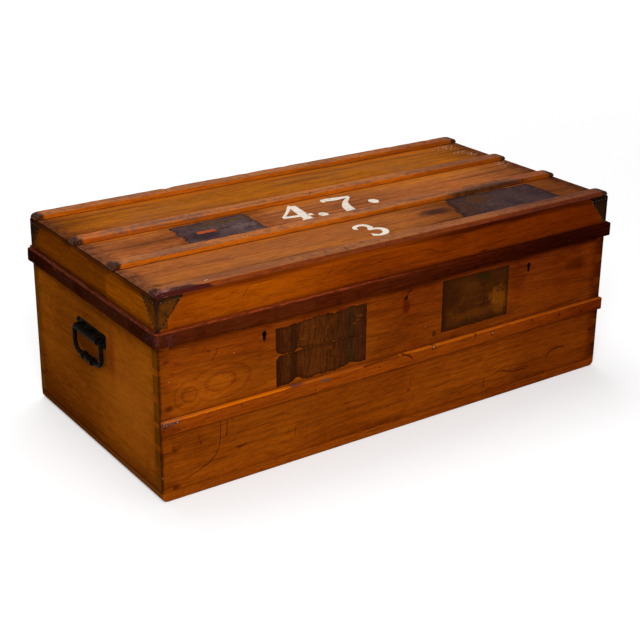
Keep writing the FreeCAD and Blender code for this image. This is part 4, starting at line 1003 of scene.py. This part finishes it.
def round_corner(s, height, sx, sy, off):
    """A point at the distance s round the lid's corner, negative on the front or back and positive on the
    side: straight along one face, a quarter circle of radius GUARD_BEND, then straight along the other."""
    quarter = GUARD_BEND * np.pi / 4
    turn = np.clip(s / quarter, -1, 1) * np.pi / 4 + np.pi / 4
    run = np.clip(np.abs(s) - quarter, 0, None)
    reach = GUARD_BEND + off
    x = HALF_LENGTH - GUARD_BEND + reach * np.sin(turn) - np.where(s < 0, run, 0)
    y = HALF_DEPTH - GUARD_BEND + reach * np.cos(turn) - np.where(s > 0, run, 0)
    return np.stack([sx * x, sy * y, height], -1)


def guard(node, sx, sy, seed, material):
    """The sheet: t is the share of the height, u the share of the half width, and the half width grows with
    the 1.05th power of t from the first to the second of GUARD_WIDTH."""
    t = np.linspace(0, 1, 40)
    u = np.linspace(-1, 1, 61)
    height = between(GUARD_HEIGHT, t)[:, None] + 0 * u
    width = (between(GUARD_WIDTH, t ** 1.05) * (1 + 0.012 * ripple(t, seed, [(0.3, 1)])))[:, None]
    s = u * width
    bend = 0.25 * MM + ripple(s, seed, [(0.021, 0.12 * MM), (0.009, 0.06 * MM)]) * np.abs(u) + ripple(
        height, seed + 1, [(0.017, 0.1 * MM), (0.03, 0.1 * MM)])
    onto_board = np.clip(-s / (4 * MM), 0, 1)
    height = height + 4.6 * MM * onto_board * t[:, None] ** 3
    points = round_corner(s, height, sx, sy, 0.25 * MM + np.clip(bend, -0.1 * MM, 0.6 * MM) * np.abs(u))
    soot = (0.32 + (0.25 if sy > 0 else 0) + 0.34 * np.exp(-(s / (6 * MM)) ** 2)
            + 0.3 * np.clip(1 - (width - np.abs(s)) / (6 * MM), 0, 1) + 0.5 * t[:, None] ** 5)
    faces = grid_faces(len(t), len(u))
    sheet = make_piece(node + "_sheet", points, faces, material, "lid", [node],
                       facing=(sx, sy, 0), weld=0, values={"soot": soot})
    thicken(sheet, 0.5 * MM, 1)


def tacks(node, sx, sy, seed, material):
    """Nine heads down each slanted edge and five along each top edge, each a profile turned about its
    middle."""
    along = np.linspace(0.06, 0.96, 9)
    top = np.linspace(0.16, 0.86, 5)
    slanted = between(GUARD_WIDTH, along) - 2.2 * MM, between(GUARD_HEIGHT, along)
    level = GUARD_WIDTH[1] * top, 0 * top + GUARD_HEIGHT[1] - 2.6 * MM
    place = np.concatenate([np.stack([side * out, height], -1)
                            for out, height in (slanted, level) for side in (-1, 1)])
    chance = np.random.default_rng(seed)
    place = place + chance.uniform(-0.7, 0.7, place.shape) * MM
    wide = (chance.uniform(0.75, 1.1, len(place)) * MM)[:, None, None]
    profile = np.array([(0, 0.6), (0.5, 0.52), (0.87, 0.3), (1, 0), (1, -0.6), (0, -0.6)])
    turn = np.linspace(0, 2 * np.pi, 10, endpoint=False)
    ds, dz = (wide * profile[:, :1] * wave for wave in (np.cos(turn), np.sin(turn)))
    rise = profile[:, 1:] * MM + 0 * turn
    domes = round_corner(place[:, 0, None, None] + ds, place[:, 1, None, None] + dz, sx, sy, 0.9 * MM + rise)
    faces = many_grids(len(place), len(profile), len(turn), round_columns=True)
    make_piece(node + "_tacks", domes, faces, material, "lid", facing=(sx, sy, 0))


olive = iron("olive guard tinplate", (92, 47, 9), (44, 24, 6), (104, 62, 20), 5, metal=0.0,
             rough=(0.5, 0.75), share=0.9, depth=0.0002, soot=(26, 17, 9))
sooty = iron("sooty guard tinplate", (40, 20, 9), (24, 11, 6), (60, 38, 22), 9, metal=0.0,
             rough=(0.5, 0.75), share=0.9, depth=0.0002, soot=(18, 11, 8))
tack_finish = iron("tack heads", (96, 84, 62), (60, 46, 30), (200, 190, 170), 6, metal=0.3)
for node, sx, sy, seed in (("corner_guard_front_left", -1, -1, 71), ("corner_guard_front_right", 1, -1, 72),
                           ("corner_guard_back_right", 1, 1, 73), ("corner_guard_back_left", -1, 1, 74)):
    guard(node, sx, sy, seed, olive if sx < 0 else sooty)
    tacks(node, sx, sy, seed, tack_finish)

# %% [markdown]
# ## Nails
# The battens, the band and the bottom are nailed on with small flat-headed nails that have sunk and rusted;
# those of the battens and the band are made here. A head is a low dome turned about its own axis, and the
# heads of the lid's battens, of the front batten and of each band are one mesh each.

# %% Nail heads
NAIL_RADIUS, NAIL_RISE = 1.5 * MM, 0.35 * MM


def heads(name, places, direction, across, body):
    """Low domes: each ring's radius is the sine, and its height the cosine, of an angle from the middle."""
    places, direction, across = (np.array(v, float) for v in (places, direction, across))
    other = np.cross(direction, across)
    ring, turn = np.linspace(0, 1, 5), np.linspace(0, 2 * np.pi, 14, endpoint=False)
    wide = NAIL_RADIUS * np.sin(ring * np.pi / 2)[:, None, None]
    dome = (wide * (np.cos(turn)[:, None] * across + np.sin(turn)[:, None] * other)
            + (NAIL_RISE * np.cos(ring * np.pi / 2) + 0.02 * MM)[:, None, None] * direction)
    skirt = dome[-1:] - direction * 0.3 * MM
    one = np.concatenate([dome, skirt, 0 * skirt - direction * 0.28 * MM])
    points = places[:, None, None, :] + one[None]
    faces = many_grids(len(places), len(one), len(turn), round_columns=True)
    make_piece(name, points, faces, nail_finish, body, facing=direction)


nail_finish = iron("nail iron", (50, 24, 10), (66, 30, 10), (96, 62, 38), 7, metal=0.0)
top_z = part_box("lid_batten_front")[1].z
heads("lid_batten_nails", [(x + 0.004 * ((i * 7) % 5 - 2), y, top_z - 0.25 * MM)
                           for y in (-0.2295, -0.080, 0.067, 0.2295)
                           for i, x in enumerate(np.linspace(-0.485, 0.485, 9))], (0, 0, 1), (1, 0, 0), "lid")
heads("front_batten_nails", [(x, -0.2520, z) for x, z in (
    (-0.470, 0.134), (-0.35, 0.145), (-0.20, 0.133), (-0.06, 0.141), (0.062, 0.146), (0.164, 0.145),
    (0.207, 0.139), (0.33, 0.136), (0.47, 0.142))], (0, -1, 0), (1, 0, 0), "chest")
heads("band_front_nails", [(x, -0.2525, 0.296 + 0.003 * ((i * 5) % 3 - 1))
                           for i, x in enumerate(np.linspace(-0.49, 0.49, 11))], (0, -1, 0), (1, 0, 0), "lid")
for name, side in (("band_left_nails", -1), ("band_right_nails", 1)):
    heads(name, [(side * 0.5095, y, 0.298) for y in (-0.215, -0.116, 0.0, 0.116, 0.215)], (side, 0, 0),
          (0, 1, 0), "lid")
print("nails of the battens and of the band")

# %% [markdown]
# ## Old labels
# Four paper labels are left, brown, bare and torn. A label could be a flat picture, but torn paper has an
# outline of its own: its four sides are wandering lines, the sheet between them is their blend, and it
# cockles slightly away from the board.

# %% Torn paper
def torn_label(name, corners, seed, material, body, ragged, notch=(), lift=0.25 * MM, count=(90, 60)):
    """A sheet between four wandering sides. With u along and v up, a point is bottom(u), top(u), left(v) and
    right(v) blended in straight proportion, less the blend of the four corners counted twice (a Coons
    patch). corners are bottom left, bottom right, top right and top left, as (along, up) in metres; ragged
    is in mm. Labels of the chest are on its front, those of the lid on its top."""
    u, v = np.linspace(0, 1, count[0])[:, None], np.linspace(0, 1, count[1])[None, :]
    bl, br, tr, tl = (np.array(c, float) for c in corners)
    tear = [(0.37, 0.5), (0.13, 0.35), (0.051, 0.3), (0.023, 0.2)]

    def line(a, b, t, amount, k):
        straight = a + (b - a) * t[..., None]
        along = (b - a) / np.linalg.norm(b - a)
        side = np.array([-along[1], along[0]])
        hold = np.sin(np.pi * t) ** 0.25
        return straight + (ripple(t, seed + k, tear) * amount * MM * hold)[..., None] * side

    bottom, top = line(bl, br, u, ragged[0], 0), line(tl, tr, u, ragged[2], 1)
    left, right_side = line(bl, tl, v, ragged[3], 2), line(br, tr, v, ragged[1], 3)
    u3, v3 = u[..., None], v[..., None]
    flat = ((1 - v3) * bottom + v3 * top + (1 - u3) * left + u3 * right_side
            - ((1 - u3) * (1 - v3) * bl + u3 * (1 - v3) * br + u3 * v3 * tr + (1 - u3) * v3 * tl))
    for (cu, cv), (ru, rv), push in notch:
        bell = np.exp(-((u - cu) / ru) ** 2 - ((v - cv) / rv) ** 2)[..., None]
        flat = flat + bell * np.array(push) * MM
    lifted = lift + np.abs(ripple(flat[..., 0], seed + 5, [(0.031, 0.1 * MM), (0.012, 0.05 * MM)])
                           + ripple(flat[..., 1], seed + 6, [(0.023, 0.08 * MM)]))
    rim = np.minimum(np.minimum(u, 1 - u) * count[0], np.minimum(v, 1 - v) * count[1])
    if body == "chest":
        points, facing = np.stack([flat[..., 0], -(HALF_DEPTH + lifted), flat[..., 1]], -1), (0, -1, 0)
    else:
        points, facing = np.stack([flat[..., 0], flat[..., 1], LID_TOP + lifted], -1), (0, 0, 1)
    piece = make_piece(name, points, grid_faces(*count), material, body, facing=facing, weld=0,
                       values={"rim": np.clip(1 - rim / 6, 0, 1), "across": u + 0 * v, "upward": v + 0 * u})
    thicken(piece, 0.2 * MM, -1)


def paper(name, seed, base, stain, dark, second, patches=(), bands=(), columns=0.0):
    """Aged paper: bands are stripes across it, given by their two ends as shares of its width, and patches
    are ragged ellipses, given by their middle and size as shares of its width and height."""
    made = Finish(name, rough=0.75, gloss=0.0)
    at = made.laid(made.place(), (seed, seed * 0.6, seed * 1.7))
    broad, fine = made.noise(at, 24.0, 6, 0.65), made.noise(at, 190.0, 5, 0.7)
    u, v = made.value("across"), made.value("upward")
    colour = made.mix(made.grade(broad, 0.4, 0.65), base, stain)
    for low, high, soft, tone in bands:
        colour = made.mix(made.within(u + (fine - 0.5) * 0.03, low, high, soft) * 0.85, colour, tone)
    for cu, cv, ru, rv, tone in patches:
        near = (((u - cu) / ru) ** 2 + ((v - cv) / rv) ** 2).root() + (broad - 0.5) * 2.4
        colour = made.mix(made.grade(near + (fine - 0.5) * 1.6, 1.3, 0.45) * 0.8, colour, tone)
    colour = made.mix(made.grade(fine, 0.52, 0.72) * 0.7, colour, dark)
    if columns:
        lines = made.noise(made.laid(made.place(), (seed, 0, 0), (1, 1, 0.12)), 330.0, 2)
        colour = made.mix(made.grade(lines, 0.48, 0.6) * columns, colour, dark)
    scuffed = made.noise(made.laid(made.place(), (seed, 0, 0), (0.3, 1, 1)), 130.0, 4, 0.7)
    colour = made.mix(made.grade(scuffed, 0.6, 0.68) * 0.8, colour, second)
    colour = made.mix(made.value("rim") * 0.6, colour, dark)
    speck = made.noise(at, 420.0, 3, 0.7)
    colour = made.mix(made.grade(speck, 0.54, 0.66) * 0.5, colour, dark)
    made.set(**{"Base Color": colour, "Normal": made.bump(fine + broad, 0.0003)})
    return made.material


left_paper = paper("left label paper", 3.1, (84, 40, 8), (66, 29, 7), (34, 14, 5), (112, 52, 8),
                   bands=[(-0.2, 0.08, 0.01, (66, 29, 8)), (0.15, 0.23, 0.02, (50, 23, 7)),
                          (0.30, 0.55, 0.06, (86, 41, 11)), (0.66, 0.98, 0.06, (66, 31, 12)),
                          (0.78, 0.85, 0.02, (52, 34, 11))], columns=0.5)
torn_label("front_left_label_upper", [(-0.276, 0.214), (-0.086, 0.2115), (-0.086, 0.268), (-0.277, 0.266)],
           81, left_paper, "chest", ragged=(1.6, 0.5, 3.0, 0.4),
           notch=[((0.0, 0.0), (0.05, 0.10), (5, 2)), ((0.24, 0.0), (0.03, 0.12), (0, 4)),
                  ((0.1, 1.0), (0.1, 0.3), (0, -5))])
torn_label("front_left_label_lower", [(-0.275, 0.1545), (-0.086, 0.1585), (-0.086, 0.2112), (-0.276, 0.2128)],
           82, left_paper, "chest", ragged=(2.0, 0.5, 1.0, 0.4),
           notch=[((0.23, 0.0), (0.05, 0.4), (0, 9)), ((0.82, 0.0), (0.08, 0.2), (0, 4)),
                  ((0.0, 1.0), (0.05, 0.1), (5, -2))])
right_paper = paper("right label paper", 5.3, (68, 32, 6), (54, 24, 6), (34, 14, 5), (94, 48, 9),
                    patches=[(0.85, 0.38, 0.16, 0.24, (118, 62, 8)), (0.55, 0.22, 0.34, 0.10, (88, 43, 7)),
                             (0.45, 0.75, 0.14, 0.1, (76, 38, 7)), (0.62, 0.9, 0.12, 0.08, (40, 28, 10))],
                    bands=[(-0.1, 0.06, 0.02, (50, 26, 8)), (0.94, 1.1, 0.02, (56, 28, 8))])
torn_label("front_right_label", [(0.087, 0.170), (0.248, 0.171), (0.248, 0.2705), (0.087, 0.272)],
           83, right_paper, "chest", ragged=(0.7, 0.4, 0.6, 0.4))
slate_paper = paper("lid left label paper", 7.7, (88, 68, 65), (66, 49, 51), (34, 24, 27), (122, 94, 74),
                    patches=[(0.55, 0.80, 0.42, 0.10, (78, 58, 34)), (0.80, 0.42, 0.22, 0.12, (110, 88, 84)),
                             (0.25, 0.35, 0.2, 0.25, (44, 32, 36))])
torn_label("lid_left_label", [(-0.325, -0.055), (-0.166, -0.052), (-0.162, 0.046), (-0.320, 0.044)],
           84, slate_paper, "lid", ragged=(4.0, 3.0, 2.0, 4.0))
scrap_paper = paper("label scrap", 8.8, (176, 84, 50), (160, 70, 40), (120, 50, 30), (200, 130, 90))
torn_label("lid_label_scrap", [(-0.291, -0.012), (-0.252, -0.013), (-0.251, 0.000), (-0.288, 0.001)],
           85, scrap_paper, "lid", ragged=(1, 1, 1, 1), lift=0.6 * MM, count=(40, 24))
dark_paper = paper("lid right label paper", 9.4, (70, 52, 50), (56, 40, 41), (30, 20, 22), (100, 72, 60),
                   patches=[(0.3, 0.75, 0.16, 0.2, (82, 50, 30)), (0.1, 0.4, 0.14, 0.4, (74, 46, 34))])
torn_label("lid_right_label", [(0.168, -0.203), (0.415, -0.203), (0.4147, -0.101), (0.207, -0.0955)],
           86, dark_paper, "lid", ragged=(4.0, 2.0, 1.5, 5.0),
           notch=[((0.7, 0.0), (0.2, 0.3), (0, -8))])

# %% [markdown]
# ## Painted numbers
# Trunks like this carry numbers painted on the lid by hand, in white that has worn thin. A font could give
# them, but a brush stroke is a line whose width swells and thins, so each stroke is a ribbon: points to
# both sides of a smooth line, at a distance given along it.

# %% Strokes
def stroke(line, widths, steps=40):
    """A ribbon along a smooth line through the given points (each span a cubic whose slopes are half the step
    between its neighbours), as wide on either side as widths says."""
    line = np.array(line, float)
    ends = np.concatenate([2 * line[:1] - line[1:2], line, 2 * line[-1:] - line[-2:-1]])
    t = np.linspace(0, len(line) - 1, steps)
    k = np.clip(t.astype(int), 0, len(line) - 2)
    f = (t - k)[:, None]
    p0, p1, p2, p3 = ends[k], ends[k + 1], ends[k + 2], ends[k + 3]
    middle_line = 0.5 * (2 * p1 + (p2 - p0) * f + (2 * p0 - 5 * p1 + 4 * p2 - p3) * f ** 2
                         + (3 * p1 - p0 - 3 * p2 + p3) * f ** 3)
    along = np.gradient(middle_line, axis=0)
    side = np.stack([-along[:, 1], along[:, 0]], -1) / np.linalg.norm(along, axis=1, keepdims=True)
    wide = np.interp(t, np.arange(len(widths)) * (len(line) - 1) / (len(widths) - 1), widths)[:, None, None]
    across = np.linspace(-1, 1, 7)[None, :, None]
    return middle_line[:, None] + side[:, None] * wide * across


NUMBERS = {
    "four": [([(0.66, 1.0), (0.34, 0.62), (0.04, 0.32)], [0.05, 0.035, 0.03]),
             ([(0.0, 0.30), (0.5, 0.30), (1.0, 0.31)], [0.045, 0.05, 0.045]),
             ([(0.70, 0.97), (0.70, 0.5), (0.70, 0.03)], [0.10, 0.12, 0.12]),
             ([(0.48, 0.02), (0.70, 0.03), (0.94, 0.02)], [0.03, 0.045, 0.03])],
    "seven": [([(0.02, 0.80), (0.08, 0.93), (0.45, 0.93), (0.98, 0.97)], [0.03, 0.07, 0.08, 0.03]),
              ([(0.96, 0.95), (0.62, 0.62), (0.46, 0.30), (0.42, 0.03)], [0.03, 0.06, 0.12, 0.13])],
    "three": [([(0.08, 0.80), (0.22, 0.95), (0.50, 0.99), (0.74, 0.88), (0.72, 0.66), (0.42, 0.53)],
               [0.07, 0.06, 0.05, 0.09, 0.09, 0.03]),
              ([(0.42, 0.53), (0.76, 0.46), (0.90, 0.26), (0.68, 0.05), (0.30, 0.02), (0.06, 0.20)],
               [0.03, 0.07, 0.12, 0.08, 0.05, 0.09])],
    "dot": [([(0.0, 0.5), (0.5, 0.5), (1.0, 0.5)], [0.02, 0.30, 0.42, 0.48, 0.5, 0.48, 0.42, 0.30, 0.02])]}


def paint_number(name, number, centre, size, turn=0):
    ribbons = [stroke(line, [w * 1.25 for w in widths]) for line, widths in NUMBERS[number]]
    flat = (np.stack(ribbons) - (0.5, 0.5)) * np.array(size)
    c, s = math.cos(math.radians(turn)), math.sin(math.radians(turn))
    flat = flat @ np.array([[c, s], [-s, c]]) + np.array(centre)
    points = np.concatenate([flat, np.full(flat.shape[:-1] + (1,), LID_TOP + 0.15 * MM)], -1)
    points[..., 2] += np.arange(len(ribbons))[:, None, None] * 0.02 * MM
    faces = many_grids(len(ribbons), *ribbons[0].shape[:2])
    thicken(make_piece(name, points, faces, white.material, "lid", facing=(0, 0, 1), weld=0), 0.13 * MM, -1)


white = Finish("old white paint", rough=0.6, gloss=0.2)
at = white.place()
thin = white.noise(white.laid(at, (4, 1, 0)), 150.0, 5, 0.7)
worn = white.grade(thin * 0.7 + white.noise(at, 32.0, 2) * 0.3, 0.55, 0.63)
coat = white.mix(white.noise(at, 60.0), (232, 222, 208), (212, 200, 184))
white.set(**{"Base Color": white.mix(worn * 0.8, coat, (150, 104, 72)), "Normal": white.bump(thin, 0.0002)})
paint_number("painted_four", "four", (-0.080, -0.004), (0.062, 0.088), -10)
paint_number("painted_dot_one", "dot", (-0.037, -0.038), (0.019, 0.019))
paint_number("painted_seven", "seven", (0.031, -0.010), (0.064, 0.086), -8)
paint_number("painted_dot_two", "dot", (0.090, -0.024), (0.021, 0.020))
paint_number("painted_three", "three", (-0.016, -0.157), (0.044, 0.063), 14)
